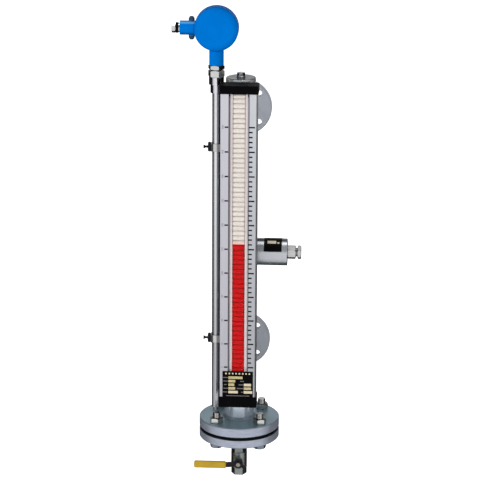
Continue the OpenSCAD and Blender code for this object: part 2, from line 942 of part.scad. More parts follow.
module right_scale() {
    color("gainsboro")
        at_axis() difference() {
            scale_plate();
            for (i = [0 : marks_n])
                mark_groove(i * division, 0, i % divisions_per_major == 0 ? major_mark : minor_mark);
        }
}

module left_scale() {
    color("gainsboro")
        at_axis() mirror([1, 0, 0]) difference() {
            scale_plate();
            for (i = [0 : divisions_per_major : marks_n])
                mark_groove(i * division, left_mark_inset, minor_mark);
        }
}

module nameplate() {
    color("black")
        at_axis(housing_bottom)
            translate([-nameplate_w / 2, -housing_front - scale_t - nameplate_t, 0])
                cube([nameplate_w, nameplate_t, housing_drop - nameplate_drop]);
}

// Strap round the back of the chamber, hooked behind the housing's lips
module hooked_strap() {
    linear_extrude(strap_h) {
        difference() {
            circle(r = strap_r + strap_t);
            circle(r = strap_r);
            translate([-2 * strap_r, -2 * strap_r]) square([4 * strap_r, 2 * strap_r]);
        }
        for (side = [0, 1]) mirror([side, 0]) {
            translate([strap_r, -hook_front]) square([strap_t, hook_front]);
            translate([strap_r - hook_len, -hook_front]) square([strap_t + hook_len, strap_t]);
        }
    }
    translate([-lock_len / 2, strap_r + strap_t / 2, 0]) cube([lock_len, lock_d, strap_h]);
}

module indicator_straps() {
    color("lightgray")
        for (z = [lower_strap_z, upper_strap_z])
            at_axis(z - strap_h / 2) hooked_strap();
}

// Rollers

module roller() {
    r = roller_d / 2;
    end = roller_len / 2;
    to_right() rotate_extrude()
        polygon([
            [0, -end - pin_len], [pin_d / 2, -end - pin_len], [pin_d / 2, -end],
            [r - roller_bevel, -end], [r, -end + roller_bevel],
            [r, end - roller_bevel], [r - roller_bevel, end],
            [pin_d / 2, end], [pin_d / 2, end + pin_len], [0, end + pin_len]
        ]);
}

module at_roller(z) {
    at_axis(z) translate([0, -roller_y, 0]) children();
}

// Tray with a rail at each side, from one height to another
module tray(from, to) {
    at_axis(from) linear_extrude(to - from) difference() {
        translate([-tray_w / 2, -rail_front]) square([tray_w, rail_front - tray_back]);
        translate([-rail_in, -rail_front - past])
            square([2 * rail_in, rail_front + past - tray_back - tray_t]);
    }
}

module lower_roller_bank() {
    color("firebrick") {
        tray(housing_bottom, flip_bottom);
        for (i = [0 : lower_rollers_n - 1])
            at_roller(flip_bottom - (i + 0.5) * roller_pitch) roller();
    }
}

module upper_roller_bank() {
    color("linen") {
        tray(flip_top, housing_top);
        for (i = [0 : upper_rollers_n - 1])
            at_roller(flip_top + (i + 0.5) * roller_pitch) roller();
    }
}

function flip_roller_z(i) = flip_bottom + (i - 0.5) * roller_pitch;

module flip_tray() {
    bore = pin_d + 2 * run;
    bore_len = roller_len + 2 * (pin_len + clear);
    color("linen")
        difference() {
            tray(flip_bottom, flip_top);
            for (i = [1 : flip_n])
                at_roller(flip_roller_z(i)) translate([-bore_len / 2, 0, 0])
                    to_right() cylinder(d = bore, h = bore_len);
        }
}

module flip_roller(i) {
    color(i <= flip_n / 2 ? "firebrick" : "linen") at_roller(flip_roller_z(i)) roller();
}

// Transmitter

module sensor_tube() {
    color("lightgray")
        at_sensor(-sensor_drop) {
            difference() {
                cylinder(d = sensor_od, h = sensor_top + sensor_drop);
                translate([0, 0, sensor_wall]) cylinder(d = sensor_id, h = sensor_top + sensor_drop);
            }
            translate([0, 0, -tip_len]) cylinder(d = tip_d, h = tip_len + sensor_wall / 2);
        }
}

module reed_chain() {
    reeds_n = floor((board_len - reed_len) / reed_pitch);
    color("darkgreen")
        at_sensor(-sensor_drop + sensor_wall) {
            translate([-board_w / 2, -board_t / 2, 0]) cube([board_w, board_t, board_len]);
            for (i = [0 : reeds_n])
                translate([0, board_t / 2, i * reed_pitch]) cylinder(d = reed_d, h = reed_len);
        }
}

module tube_collar() {
    color("lightgray")
        at_sensor(collar_foot) difference() {
            union() {
                cylinder(d = lower_collar_d, h = lower_collar_h);
                translate([0, 0, lower_collar_h]) cylinder(d = upper_collar_d, h = upper_collar_h);
                cylinder(d = conduit_d, h = neck_foot + conduit_grip - collar_foot);
            }
            translate([0, 0, -past])
                cylinder(d = sensor_od + 2 * fit, h = neck_foot + conduit_grip - collar_foot + 2 * past);
        }
}

module conduit_nuts() {
    bore = conduit_d + 2 * fit;
    color("silver") {
        at_sensor(nuts_foot) rotate(-nut_turn) hex_nut(conduit_hex, bore, lower_nut_h);
        at_sensor(neck_foot - upper_nut_h) rotate(-nut_turn) hex_nut(conduit_hex, bore, upper_nut_h);
    }
}

// Outline of a tube clamp from above: a block round the sensor tube and a foot on the chamber
module clamp_outline() {
    difference() {
        union() {
            translate([-sensor_x, -sensor_front]) square(clamp_w, center = true);
            translate([-sensor_x, -sensor_front - clamp_foot / 2])
                square([sensor_x - chamber_r / 2, clamp_foot]);
        }
        translate([-sensor_x, -sensor_front]) circle(d = sensor_od + 2 * fit);
        circle(r = chamber_r + fit);
    }
}

module tube_clamps() {
    color("gainsboro")
        for (z = clamp_zs)
            difference() {
                at_axis(z - clamp_h / 2) linear_extrude(clamp_h) clamp_outline();
                at_sensor(z) to_left() cylinder(d = screw_d + 2 * fit, h = clamp_w);
            }
}

module clamp_screws() {
    tip = sensor_od / 2 + fit;
    seat = clamp_w / 2 + fit;
    color("darkslategray")
        for (z = clamp_zs)
            at_sensor(z) to_left() {
                translate([0, 0, tip]) cylinder(d = screw_d, h = seat - tip + knob_t + screw_neck);
                translate([0, 0, seat]) rounded_disc(knob_d, knob_t, knob_t / 3);
                translate([0, 0, seat + knob_t + screw_neck])
                    cylinder(d1 = screw_d, d2 = flare_d, h = flare_len);
            }
}

module strap_ring() {
    difference() {
        circle(r = strap_r + strap_t);
        circle(r = strap_r);
    }
}

module chamber_straps() {
    color("lightgray") {
        for (z = clamp_zs)
            at_axis(z - strap_h / 2) linear_extrude(strap_h) difference() {
                strap_ring();
                translate([-sensor_x, -sensor_front - clamp_foot / 2]) square([sensor_x, clamp_foot]);
            }
        at_axis(switch_z - strap_h / 2) linear_extrude(strap_h) difference() {
            strap_ring();
            translate([0, -saddle_w / 2]) square([switch_start, saddle_w]);
        }
    }
}

// Transmitter head

module head_body() {
    shell_back = rim_back + bowl_depth;
    neck_len = head_rise - head_room_d / 2;
    color("dodgerblue")
        at_head() difference() {
            union() {
                translate([0, -rim_front, 0]) to_back() cylinder(d = head_d, h = rim_front + rim_back);
                translate([0, rim_back - past, 0]) to_back()
                    rounded_disc(head_d, bowl_depth + past, bowl_edge);
                translate([0, 0, -head_rise]) cylinder(d = neck_d, h = neck_len + head_wall);
                to_left() cylinder(d = cable_boss_d, h = cable_boss_reach);
                for (side = [0, 1]) mirror([0, 0, side]) translate([-lug_reach, 0, 0]) {
                    cylinder(d = lug_d, h = lug_rise - lug_taper);
                    translate([0, 0, lug_rise - lug_taper])
                        cylinder(d1 = lug_d, d2 = lug_end_d, h = lug_taper);
                }
            }
            translate([0, -rim_front - past, 0]) to_back()
                rounded_disc(head_room_d, rim_front + shell_back - head_wall + past, bowl_edge - head_wall);
            translate([0, 0, -head_rise - past])
                cylinder(d = conduit_d + 2 * fit, h = conduit_grip + past + fit);
            translate([0, 0, -head_rise]) cylinder(d = sensor_id, h = head_rise);
            translate([0, -rim_front, 0]) to_front() cylinder(d = head_d + 2 * fit, h = cover_depth);
            to_left() cylinder(d = cable_boss_bore, h = cable_boss_reach + past);
        }
}

module head_cover() {
    spigot_d = head_room_d - 2 * fit;
    room_d = spigot_d - 2 * spigot_wall;
    color("dodgerblue")
        at_head() translate([0, -rim_front, 0]) {
            difference() {
                to_front() rounded_disc(head_d, cover_depth, cover_edge);
                translate([0, past, 0]) to_front()
                    rounded_disc(room_d, cover_depth - head_wall + past, cover_edge - head_wall);
            }
            translate([0, -past, 0]) to_back() ring(spigot_d, room_d, cover_spigot + past);
        }
}

module terminal_block() {
    back = rim_back + bowl_depth - head_wall;
    pitch = terminal_w / terminal_n;
    screw_d = pitch / 2;
    color("ivory")
        at_head() difference() {
            translate([-terminal_w / 2, back - terminal_d, -terminal_h / 2])
                cube([terminal_w, terminal_d, terminal_h]);
            for (i = [0 : terminal_n - 1])
                translate([(i + 0.5) * pitch - terminal_w / 2, back - terminal_d - past, 0])
                    to_back() cylinder(d = screw_d, h = terminal_d / 2);
        }
}

module head_gland() {
    thread_len = 2 * gland_nut_len;
    ring_room = gland_ring_t + 2 * fit;
    nut_from = gland_flange_t + ring_room;
    color("silver")
        at_head() translate([-cable_boss_reach, 0, 0]) to_left() difference() {
            union() {
                translate([0, 0, -thread_len])
                    cylinder(d = cable_boss_bore - 2 * fit, h = thread_len + nut_from + past);
                cylinder(d = gland_d, h = gland_flange_t);
                translate([0, 0, nut_from]) hexagon(gland_d, gland_nut_len);
            }
            translate([0, 0, -thread_len - past])
                cylinder(d = gland_bore, h = thread_len + nut_from + gland_nut_len + 2 * past);
        }
}

module gland_ring() {
    color("black")
        at_head() translate([-cable_boss_reach - gland_flange_t - fit, 0, 0]) to_left()
            ring(gland_ring_d, cable_boss_bore, gland_ring_t);
}

// Limit switch

module switch_body() {
    room_from = switch_start + switch_foot;
    color("gainsboro")
        at_switch() difference() {
            union() {
                translate([switch_start, 0, 0]) to_right() cylinder(d = switch_d, h = switch_len);
                translate([chamber_r / 2, -saddle_w / 2, -saddle_w / 2])
                    cube([switch_start + past - chamber_r / 2, saddle_w, saddle_w]);
            }
            translate([room_from, 0, 0]) to_right() cylinder(d = switch_room_d, h = switch_len);
            translate([0, 0, -switch_d]) cylinder(r = chamber_r + fit, h = 2 * switch_d);
        }
}

module switch_cap() {
    thread_d = switch_neck_d;
    color("gainsboro")
        at_switch() translate([switch_end, 0, 0]) to_right() difference() {
            union() {
                rounded_disc(switch_d, switch_cap_t, 1);
                translate([0, 0, -switch_spigot])
                    cylinder(d = switch_room_d - 2 * fit, h = switch_spigot + past);
            }
            translate([0, 0, -switch_spigot - past])
                cylinder(d = thread_d, h = switch_spigot + switch_cap_t + 2 * past);
        }
}

module switch_element() {
    color("dimgray")
        at_switch() translate([switch_start + switch_foot, -element_w / 2, -element_w / 2])
            cube([element_len, element_w, element_w]);
}

module switch_label() {
    r = switch_d / 2 + fit;
    middle = (label_from + label_to) / 2;
    // Corners of a wedge from the label's front edge over the top to its rear edge
    wedge = [[0, 0], for (a = [label_from, middle, label_to]) -2 * switch_d * [sin(a), cos(a)]];
    color("black")
        at_switch() translate([switch_end - label_gap - label_len, 0, 0])
            to_right() linear_extrude(label_len) intersection() {
                difference() {
                    circle(r = r + label_t);
                    circle(r = r);
                }
                polygon(wedge);
            }
}

module switch_gland() {
    neck_end = switch_gland_len + switch_neck_len + switch_nut_len / 2;
    color("silver")
        at_switch() translate([switch_end + switch_cap_t, 0, 0]) to_right() difference() {
            union() {
                translate([0, 0, -switch_cap_t])
                    cylinder(d = switch_neck_d - 2 * fit, h = switch_cap_t + neck_end);
                hexagon(switch_gland_hex, switch_gland_len);
            }
            translate([0, 0, -switch_cap_t - past])
                cylinder(d = switch_bore, h = switch_cap_t + neck_end + 2 * past);
        }
}

module switch_gland_nut() {
    neck = switch_gland_len + switch_neck_len;
    color("silver")
        at_switch() translate([switch_end + switch_cap_t + neck, 0, 0]) to_right() difference() {
            hexagon(switch_gland_hex, switch_nut_len);
            translate([0, 0, -past]) cylinder(d = switch_neck_d, h = switch_nut_len / 2 + past + fit);
            translate([0, 0, -past]) cylinder(d = switch_bore, h = switch_nut_len + 2 * past);
        }
}

chamber_tube();
chamber_cap();
vent_plug();
nozzle(connection_pitch);  // upper_nozzle
nozzle(0);  // lower_nozzle
process_flange(connection_pitch);  // upper_process_flange
process_flange(0);  // lower_process_flange
chamber_flange();
flange_gasket();
drain_flange();
flange_bolts();
flange_nuts();
float_shell();
float_magnet();
drain_pipe();
valve_body();
valve_end();
valve_ball();
valve_seats();
valve_stem();
packing_nut();
valve_lever();
lever_grip();
lever_nut();
indicator_housing();
indicator_window();
top_end_cap();
bottom_end_cap();
left_scale();
right_scale();
nameplate();
indicator_straps();
lower_roller_bank();
upper_roller_bank();
flip_tray();
for (i = [1 : flip_n]) flip_roller(i);
sensor_tube();
reed_chain();
tube_collar();
conduit_nuts();
tube_clamps();
clamp_screws();
chamber_straps();
head_body();
head_cover();
terminal_block();
head_gland();
gland_ring();
switch_body();
switch_cap();
switch_element();
switch_label();
switch_gland();
switch_gland_nut();
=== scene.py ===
import math

import bmesh
import bpy
from mathutils import Matrix, Vector

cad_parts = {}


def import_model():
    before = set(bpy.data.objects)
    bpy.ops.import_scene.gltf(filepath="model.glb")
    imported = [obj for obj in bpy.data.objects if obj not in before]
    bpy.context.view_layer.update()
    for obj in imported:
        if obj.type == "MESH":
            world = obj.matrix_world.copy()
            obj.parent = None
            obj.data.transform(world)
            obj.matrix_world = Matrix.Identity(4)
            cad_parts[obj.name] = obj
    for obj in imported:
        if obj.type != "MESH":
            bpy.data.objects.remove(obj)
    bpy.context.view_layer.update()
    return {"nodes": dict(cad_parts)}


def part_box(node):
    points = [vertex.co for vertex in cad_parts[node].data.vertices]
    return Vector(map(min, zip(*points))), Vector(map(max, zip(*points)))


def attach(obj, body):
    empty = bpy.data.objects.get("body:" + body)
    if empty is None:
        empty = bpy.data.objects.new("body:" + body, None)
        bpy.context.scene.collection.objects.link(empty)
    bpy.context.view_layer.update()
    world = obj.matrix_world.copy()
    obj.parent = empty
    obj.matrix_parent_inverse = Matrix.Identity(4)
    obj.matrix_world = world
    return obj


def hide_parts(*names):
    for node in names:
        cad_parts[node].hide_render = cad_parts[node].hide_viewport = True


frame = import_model()
NODES = frame["nodes"]
MM = 0.001

# Places and sizes that the part's source also has, in millimetres. The chamber's axis stands at
# x = 0, the process flanges end at y = 0, the lower one is centred on z = 0, and -Y is the front.
AXIS_Y = -125
CONNECTIONS = (0, 500)
CHAMBER_R = 30.15
CAP_TOP = 587
NOZZLE_R = 16.85
FLANGE_WELD_Y = -18
FLANGE_TOP = -128
DRAIN_BOTTOM = -171
VALVE_Z = -225
PACKING_Y = AXIS_Y - 25
LEVER_BACK_Y = AXIS_Y - 30.3
LEVER_T = 3
HOUSING_FRONT = 65
SCALE_T = 1
SCALE_FACE_Y = AXIS_Y - HOUSING_FRONT - SCALE_T
SLOT_HALF = 19.5
ROLLER_Y = -179.2
TURNING_ROLLER_Z = 260
STRAP_HEIGHTS = (130, 370)
SENSOR = (-48.5, -130)
CLAMP_HEIGHTS = (42, 445)
# Foot and height of each nut on the conduit
CONDUIT_NUTS = ((588, 14), (603, 9))
HEAD_Z = 685
BOSS_REACH = 72
SWITCH_Z = 227
SWITCH_R = 27.5
SWITCH_END = 96
SWITCH_NUT_X = 116.5

# Points round a turned piece, a thin rod, and a knurled or rippled piece
STEPS = 48
ROD_STEPS = 24
FINE_STEPS = 96
# Points closer than this are one, in millimetres
SAME_POINT = 1e-5


# Shapes

TURNS = {
    "up": Matrix.Identity(4),
    "front": Matrix.Rotation(math.pi / 2, 4, "X"),
    "back": Matrix.Rotation(-math.pi / 2, 4, "X"),
    "right": Matrix.Rotation(math.pi / 2, 4, "Y"),
    "left": Matrix.Rotation(-math.pi / 2, 4, "Y"),
}
UNMOVED = Matrix.Identity(4)


def place(x, y, z, way="up", spin=0.0):
    """Matrix that puts a shape made along +Z at a point, in millimetres, and turns it."""
    return Matrix.Translation((x, y, z)) @ TURNS[way] @ Matrix.Rotation(math.radians(spin), 4, "Z")


def raised(matrix, height):
    """The same place, further along the shape's own axis."""
    return matrix @ Matrix.Translation((0, 0, height))


def angles(n):
    return [2 * math.pi * i / n for i in range(n)]


def ring(radius, height, n=STEPS):
    return [(radius * math.cos(a), radius * math.sin(a), height) for a in angles(n)]


def add_piece(name, mesh, material, replaces=(), body="gauge"):
    """Puts a mesh in the scene as a piece that rides on a body."""
    piece = bpy.data.objects.new(name, mesh)
    bpy.context.scene.collection.objects.link(piece)
    mesh.materials.append(material)
    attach(piece, body)
    if replaces:
        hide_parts(*replaces)


class Shape:
    """Mesh under construction, in millimetres."""

    # A hexagon's chamfer starts at this share of its half width and has this slope
    CHAMFER_FROM = 0.965
    CHAMFER_SLOPE = math.tan(math.radians(30))
    # Width of the bevel at the mouth of a nut's bore
    BORE_LEAD = 0.6
    # A thread starts at this share of its depth, and where it has faded lies this share below
    THREAD_START = 0.2
    THREAD_FADED = 0.6

    def __init__(self):
        self.bm = bmesh.new()

    def grid(self, rows, matrix):
        """Skin over rows of points, each a closed ring."""
        made = [[self.bm.verts.new(matrix @ Vector(p)) for p in row] for row in rows]
        for low, high in zip(made, made[1:]):
            n = len(low)
            for i in range(n):
                j = (i + 1) % n
                self.bm.faces.new((low[i], low[j], high[j], high[i]))
        return made

    def closed(self, rows, matrix):
        """Skin over rings, with a face over the first and the last."""
        made = self.grid(rows, matrix)
        self.bm.faces.new(list(reversed(made[0])))
        self.bm.faces.new(made[-1])

    def looped(self, rows, matrix):
        """Skin over rings, from the last one back to the first."""
        self.grid(rows + rows[:1], matrix)
        bmesh.ops.remove_doubles(self.bm, verts=self.bm.verts, dist=SAME_POINT)

    def lathe(self, profile, matrix, n=STEPS):
        """Turns a profile of (radius, height) pairs, listed upwards along the outside."""
        self.closed([ring(r, z, n) for r, z in profile], matrix)

    def tube(self, profile, bore, matrix):
        """Turned profile with a plain bore through it."""
        low, high = profile[0][1], profile[-1][1]
        self.looped([ring(r, z) for r, z in profile + [(bore, high), (bore, low)]], matrix)

    def hexagon(self, across, height, bore, matrix, chamfer=(True, True), per_side=8):
        """Hexagon with its corners chamfered below and above, and a bore where one is given."""
        n = 6 * per_side
        flat = across / 2
        inner = self.CHAMFER_FROM * flat
        low, high = [], []
        for a in angles(n):
            turn = (a + math.pi / 6) % (math.pi / 3) - math.pi / 6
            r = flat / math.cos(math.pi / 6 - abs(turn))
            drop = (r - inner) * self.CHAMFER_SLOPE
            x, y = r * math.cos(a), r * math.sin(a)
            low.append((x, y, drop if chamfer[0] else 0))
            high.append((x, y, height - (drop if chamfer[1] else 0)))
        rows = [low, high]
        if chamfer[0]:
            rows.insert(0, ring(inner, 0, n))
        if chamfer[1]:
            rows.append(ring(inner, height, n))
        if bore:
            lead = self.BORE_LEAD
            mouth = bore + lead
            inside = ((mouth, height), (bore, height - lead), (bore, lead), (mouth, 0))
            self.looped(rows + [ring(r, z, n) for r, z in inside], matrix)
        else:
            self.closed(rows, matrix)

    def thread(self, radius, depth, pitch, low, high, matrix, n=36, per_turn=8):
        """Threaded rod: its skin's radius follows the helix, which fades at both ends."""
        count = max(2, int((high - low) / pitch * per_turn))
        rows = []
        for k in range(count + 1):
            z = low + (high - low) * k / count
            fade = min(1.0, (high - z) / pitch, (z - low) / pitch + self.THREAD_START)
            row = []
            for a in angles(n):
                phase = (z / pitch - a / (2 * math.pi)) % 1.0
                cut = fade * abs(2 * phase - 1) + (1 - fade) * self.THREAD_FADED
                r = radius - depth * cut
                row.append((r * math.cos(a), r * math.sin(a), z))
            rows.append(row)
        self.closed(rows, matrix)

    def block(self, low, high, bevel, segments=1):
        """Block between two corners, with its edges bevelled."""
        size = [b - a for a, b in zip(low, high)]
        middle = [(a + b) / 2 for a, b in zip(low, high)]
        matrix = Matrix.Translation(middle) @ Matrix.Diagonal((*size, 1))
        new = bmesh.ops.create_cube(self.bm, size=1, matrix=matrix)["verts"]
        edges = list({e for v in new for e in v.link_edges})
        bmesh.ops.bevel(
            self.bm, geom=edges, offset=bevel, segments=segments, affect="EDGES", profile=0.5
        )

    def join(self, other):
        """Takes over another shape's faces."""
        mesh = bpy.data.meshes.new("joined")
        other.bm.to_mesh(mesh)
        other.bm.free()
        self.bm.from_mesh(mesh)
        bpy.data.meshes.remove(mesh)

    def finish(self, name, material, slot, replaces=(), body="gauge", sharp=35):
        """Makes the piece. Edges that turn by less than sharp, in degrees, are smooth."""
        bmesh.ops.recalc_face_normals(self.bm, faces=self.bm.faces)
        for v in self.bm.verts:
            v.co *= MM
        limit = math.radians(sharp)
        for f in self.bm.faces:
            f.smooth = True
        for e in self.bm.edges:
            e.smooth = len(e.link_faces) == 2 and e.calc_face_angle(0) < limit
        mesh = bpy.data.meshes.new(name)
        self.bm.to_mesh(mesh)
        self.bm.free()
        add_piece(name, mesh, material, replaces, body)


# Materials

WHITE = (1, 1, 1, 1)
# Values between which most of a noise texture lies
NOISE = (0.3, 0.7)
# How noise is stretched: along the height, or flat
VERTICAL = (1, 1, 0.03)
LYING = (1, 1, 12)


def rgb(red, green, blue):
    """Linear colour from 8-bit display values."""
    def linear(v):
        v /= 255
        return v / 12.92 if v <= 0.04045 else ((v + 0.055) / 1.055) ** 2.4
    return (linear(red), linear(green), linear(blue), 1.0)


def grey(level):
    return (level, level, level, 1)


def shade(colour, factor):
    return tuple(min(1.0, c * factor) for c in colour[:3]) + (1.0,)


class Nodes:
    """Short names for building a node tree."""

    def __init__(self, tree):
        self.tree = tree
        self.tree.nodes.clear()

    def add(self, kind, inputs=None, **settings):
        node = self.tree.nodes.new("ShaderNode" + kind)
        for key, value in settings.items():
            setattr(node, key, value)
        for key, value in (inputs or {}).items():
            self.put(node.inputs[key], value)
        return node

    def put(self, socket, value):
        if isinstance(value, bpy.types.NodeSocket):
            self.tree.links.new(value, socket)
        else:
            socket.default_value = value

    def end(self, shader, kind="OutputMaterial"):
        """Links the finished shader to an output."""
        self.tree.links.new(shader, self.add(kind).inputs[0])

    def math(self, operation, a, b=0.0, clamp=False):
        return self.add("Math", {0: a, 1: b}, operation=operation, use_clamp=clamp).outputs[0]

    def both(self, a, b):
        return self.math("MULTIPLY", a, b)

    def spread(self, value, low, high, to_low=0.0, to_high=1.0):
        """Ramp from one value to another, level outside them."""
        return self.add("MapRange", {0: value, 1: low, 2: high, 3: to_low, 4: to_high}).outputs[0]

    def between(self, value, low, high):
        """Ramp from 0 to 1 between two measures in millimetres."""
        return self.spread(value, low * MM, high * MM)

    def past(self, value, edge, blur):
        """1 past an edge, in millimetres, and 0 before it, or the reverse with a negative blur."""
        return self.between(value, edge - blur, edge + blur)

    def mix(self, fac, a, b, blend="MIX"):
        node = self.add("Mix", data_type="RGBA", blend_type=blend)
        self.put(node.inputs[0], fac)
        self.put(node.inputs[6], a)
        self.put(node.inputs[7], b)
        return node.outputs[2]

    def noise(self, scale, stretch=(1, 1, 1), detail=4.0):
        coords = self.add("TexCoord").outputs["Object"]
        moved = self.add("Mapping", {"Vector": coords, "Scale": stretch}).outputs[0]
        settings = {"Vector": moved, "Scale": scale, "Detail": detail, "Roughness": 0.55}
        return self.add("TexNoise", settings).outputs["Fac"]

    def coordinate(self, axis):
        coords = self.add("TexCoord").outputs["Object"]
        return self.add("SeparateXYZ", {0: coords}).outputs[axis]

    def from_middle(self):
        """Distance to either side of the part's middle plane."""
        return self.math("ABSOLUTE", self.coordinate(0))

    def normal(self, axis):
        """How far the surface faces along an axis, from -1 to 1."""
        facing = self.add("NewGeometry").outputs["Normal"]
        return self.add("SeparateXYZ", {0: facing}).outputs[axis]


def new_material(name):
    """Material without nodes yet, and its node tree."""
    material = bpy.data.materials.new(name)
    material.use_nodes = True
    return material, Nodes(material.node_tree)


def surface(
    name, colour, rough=0.4, metal=0.0, spread=0.15, patch=30, stretch=(1, 1, 1),
    grain=0.08, grain_scale=900, edge=None, edge_width=0.5, rough_spread=0.12,
    paint=None, specular=0.5, glance=1.0, subsurface=0.0,
):
    """Material with patchy colour, uneven gloss, a fine grain and softened edges in the edge
    colour: a lighter one is wear, and the darker ones of the blue head and the switch's gland are
    painted shade.
    spread is how much the patches differ, and patch and grain_scale are noise scales.
    paint is a function that is given the nodes and the colour, and gives back a colour.
    glance is how much the metal reflects at a glancing angle."""
    material, n = new_material(name)
    cloud = n.noise(patch, stretch)
    fine = n.noise(grain_scale, stretch, detail=3.0)
    tint = n.mix(n.spread(cloud, *NOISE), shade(colour, 1 - spread), shade(colour, 1 + spread))
    if paint:
        tint = paint(n, tint)
    soft = n.add("Bevel", {"Radius": edge_width * MM}, samples=4).outputs[0]
    if edge:
        flat = n.add("NewGeometry").outputs["Normal"]
        meet = n.add("VectorMath", {0: soft, 1: flat}, operation="DOT_PRODUCT").outputs["Value"]
        # Edge colour on rounded, patchy edges: wear where it is lighter, painted shade where it is
        # darker
        rounded, patchy = n.spread(meet, 0.99, 0.85), n.spread(cloud, 0.35, 0.6)
        tint = n.mix(n.math("MULTIPLY", rounded, patchy, clamp=True), tint, edge)
    gloss = n.math(
        "ADD", n.spread(cloud, *NOISE, rough - rough_spread / 2, rough + rough_spread / 2),
        n.spread(fine, *NOISE, -rough_spread / 4, rough_spread / 4), clamp=True,
    )
    bump = n.add("Bump", {"Strength": grain, "Distance": 0.2 * MM, "Height": fine, "Normal": soft})
    shader = n.add("BsdfPrincipled", {
        "Base Color": tint, "Metallic": metal, "Roughness": gloss, "Normal": bump.outputs[0],
        "Specular IOR Level": specular, "Specular Tint": grey(glance),
        "Subsurface Weight": subsurface, "Subsurface Scale": 2 * MM,
        "Subsurface Radius": (1.0, 0.9, 0.85),
    })
    n.end(shader.outputs[0])
    return material


# Paints: functions of the nodes and the colour so far. They go by the place on the part and by
# the way that a surface faces.

# Edges that they go by, in millimetres from the middle plane
RAIL_FROM = 12.3
TRAY_HALF = 12.5
TRIM_GROOVE = 18.6
SLOT_LIGHT = 21.4
# Height of the level shown
LEVEL_Z = TURNING_ROLLER_Z - 5
# From the axis of a roller, and of a process flange
ROLLER_BACK = 5.1
PROCESS_RIM = 55.2
# From the middle of the head, to the left, and up and down
BOSS_FROM = 42
LUG_END = 14.4


def two_colours(front, back, rail=None, turn=0.0):
    """Roller paint: one colour on the front half, the other on the back half, rails beside.
    A roller with a turn, in degrees, is the one that stands part-way between the two."""
    def paint(n, _):
        depth = n.coordinate(1)
        from_axis = n.math("SUBTRACT", depth, ROLLER_Y * MM)
        border = 1.0
        if turn:
            above = n.math("SUBTRACT", n.coordinate(2), TURNING_ROLLER_Z * MM)
            from_axis = n.math(
                "SUBTRACT", n.both(from_axis, math.cos(math.radians(turn))),
                n.both(above, math.sin(math.radians(turn))),
            )
            border = 0.0
        behind = n.past(from_axis, border, 0.1)
        wear = n.spread(n.noise(220, (1, 3, 3)), 0.35, 0.7)
        colour = n.mix(wear, shade(front, 0.86), shade(front, 1.08))
        side = n.from_middle()
        # Painted shade: the roller's ends, next to the rails, darken
        colour = n.mix(n.between(side, 10.4, 12.0), colour, shade(front, 0.62))
        colour = n.mix(behind, colour, back)
        if rail:
            colour = n.mix(n.past(depth, ROLLER_Y + ROLLER_BACK, 0.1), colour, front)
            colour = n.mix(n.past(side, RAIL_FROM, 0.1), colour, rail)
        return colour
    return paint


def tray_paint(n, colour):
    """Tray behind the rollers: red below the level, as the rollers colour it."""
    inside = n.past(n.from_middle(), TRAY_HALF, -0.1)
    below = n.past(n.coordinate(2), LEVEL_Z, -0.2)
    return n.mix(n.both(inside, below), colour, RED)


def fade_down(low, high, factor):
    """Painted shade: colour that darkens from one height down to another."""
    def paint(n, colour):
        darker = n.mix(1.0, colour, grey(factor), blend="MULTIPLY")
        return n.mix(n.between(n.coordinate(2), high, low), colour, darker)
    return paint


def dull_below(height, shaded):
    """Painted shade: a darker colour under a height."""
    def paint(n, colour):
        return n.mix(n.between(n.coordinate(2), height, height - 1), colour, shaded)
    return paint


def tube_paint(n, colour):
    """Tube with painted shade and painted dark reflections: it darkens downwards, to the left, and
    on the side that faces the chamber.
    """
    colour = fade_down(0, 400, 0.58)(n, colour)
    facing = n.normal(0)
    left = n.spread(facing, -0.75, -0.1, 0.35, 1.0)
    shadow = n.add("CombineColor", {0: left, 1: left, 2: left}).outputs[0]
    colour = n.mix(1.0, colour, shadow, blend="MULTIPLY")
    return n.mix(n.spread(facing, 0.54, 0.7), colour, rgb(30, 31, 35))


def flange_paint(top, rim):
    """Painted shade: the level faces above and below are dark, with turning rings, in place of the
    dark surroundings they reflect; the rim is lighter and brushed.
    """
    def paint(n, _):
        upright = n.math("ABSOLUTE", n.normal(2))
        coords = n.add("TexCoord").outputs["Object"]
        centred = {"Vector": coords, "Location": (0, -AXIS_Y * MM, 0)}
        rings = n.add(
            "TexWave", {
                "Vector": n.add("Mapping", centred).outputs[0],
                "Scale": 160, "Distortion": 1.5, "Detail": 2.0,
            },
            wave_type="RINGS", rings_direction="Z",
        ).outputs["Fac"]
        turned = n.mix(rings, shade(top, 0.85), shade(top, 1.15))
        streaks = n.spread(n.noise(60, (1, 1, 14), detail=6.0), *NOISE)
        brushed = n.mix(streaks, shade(rim, 0.78), shade(rim, 1.16))
        return n.mix(n.spread(upright, 0.6, 0.8), brushed, turned)
    return paint


def seam_paint(top, rim):
    """Flange paint with painted shade: a dark band on the flange just under the gasket."""
    def paint(n, colour):
        colour = flange_paint(top, rim)(n, colour)
        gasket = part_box("flange_gasket")[0][2]
        away = n.math("ABSOLUTE", n.math("SUBTRACT", n.coordinate(2), gasket - 0.5 * MM))
        return n.mix(n.between(away, 0.7, 0.5), colour, rgb(20, 21, 24))
    return paint


def stud_paint(n, colour):
    """Bolt with painted shade: darker under the flanges, dark at its sides and grey on its ends."""
    colour = dull_below(DRAIN_BOTTOM + 1, rgb(122, 130, 142))(n, colour)
    sides = n.spread(n.math("ABSOLUTE", n.normal(0)), 0.45, 0.7)
    colour = n.mix(sides, colour, rgb(72, 74, 76))
    return n.mix(n.spread(n.normal(2), 0.85, 0.95), colour, rgb(150, 151, 150))


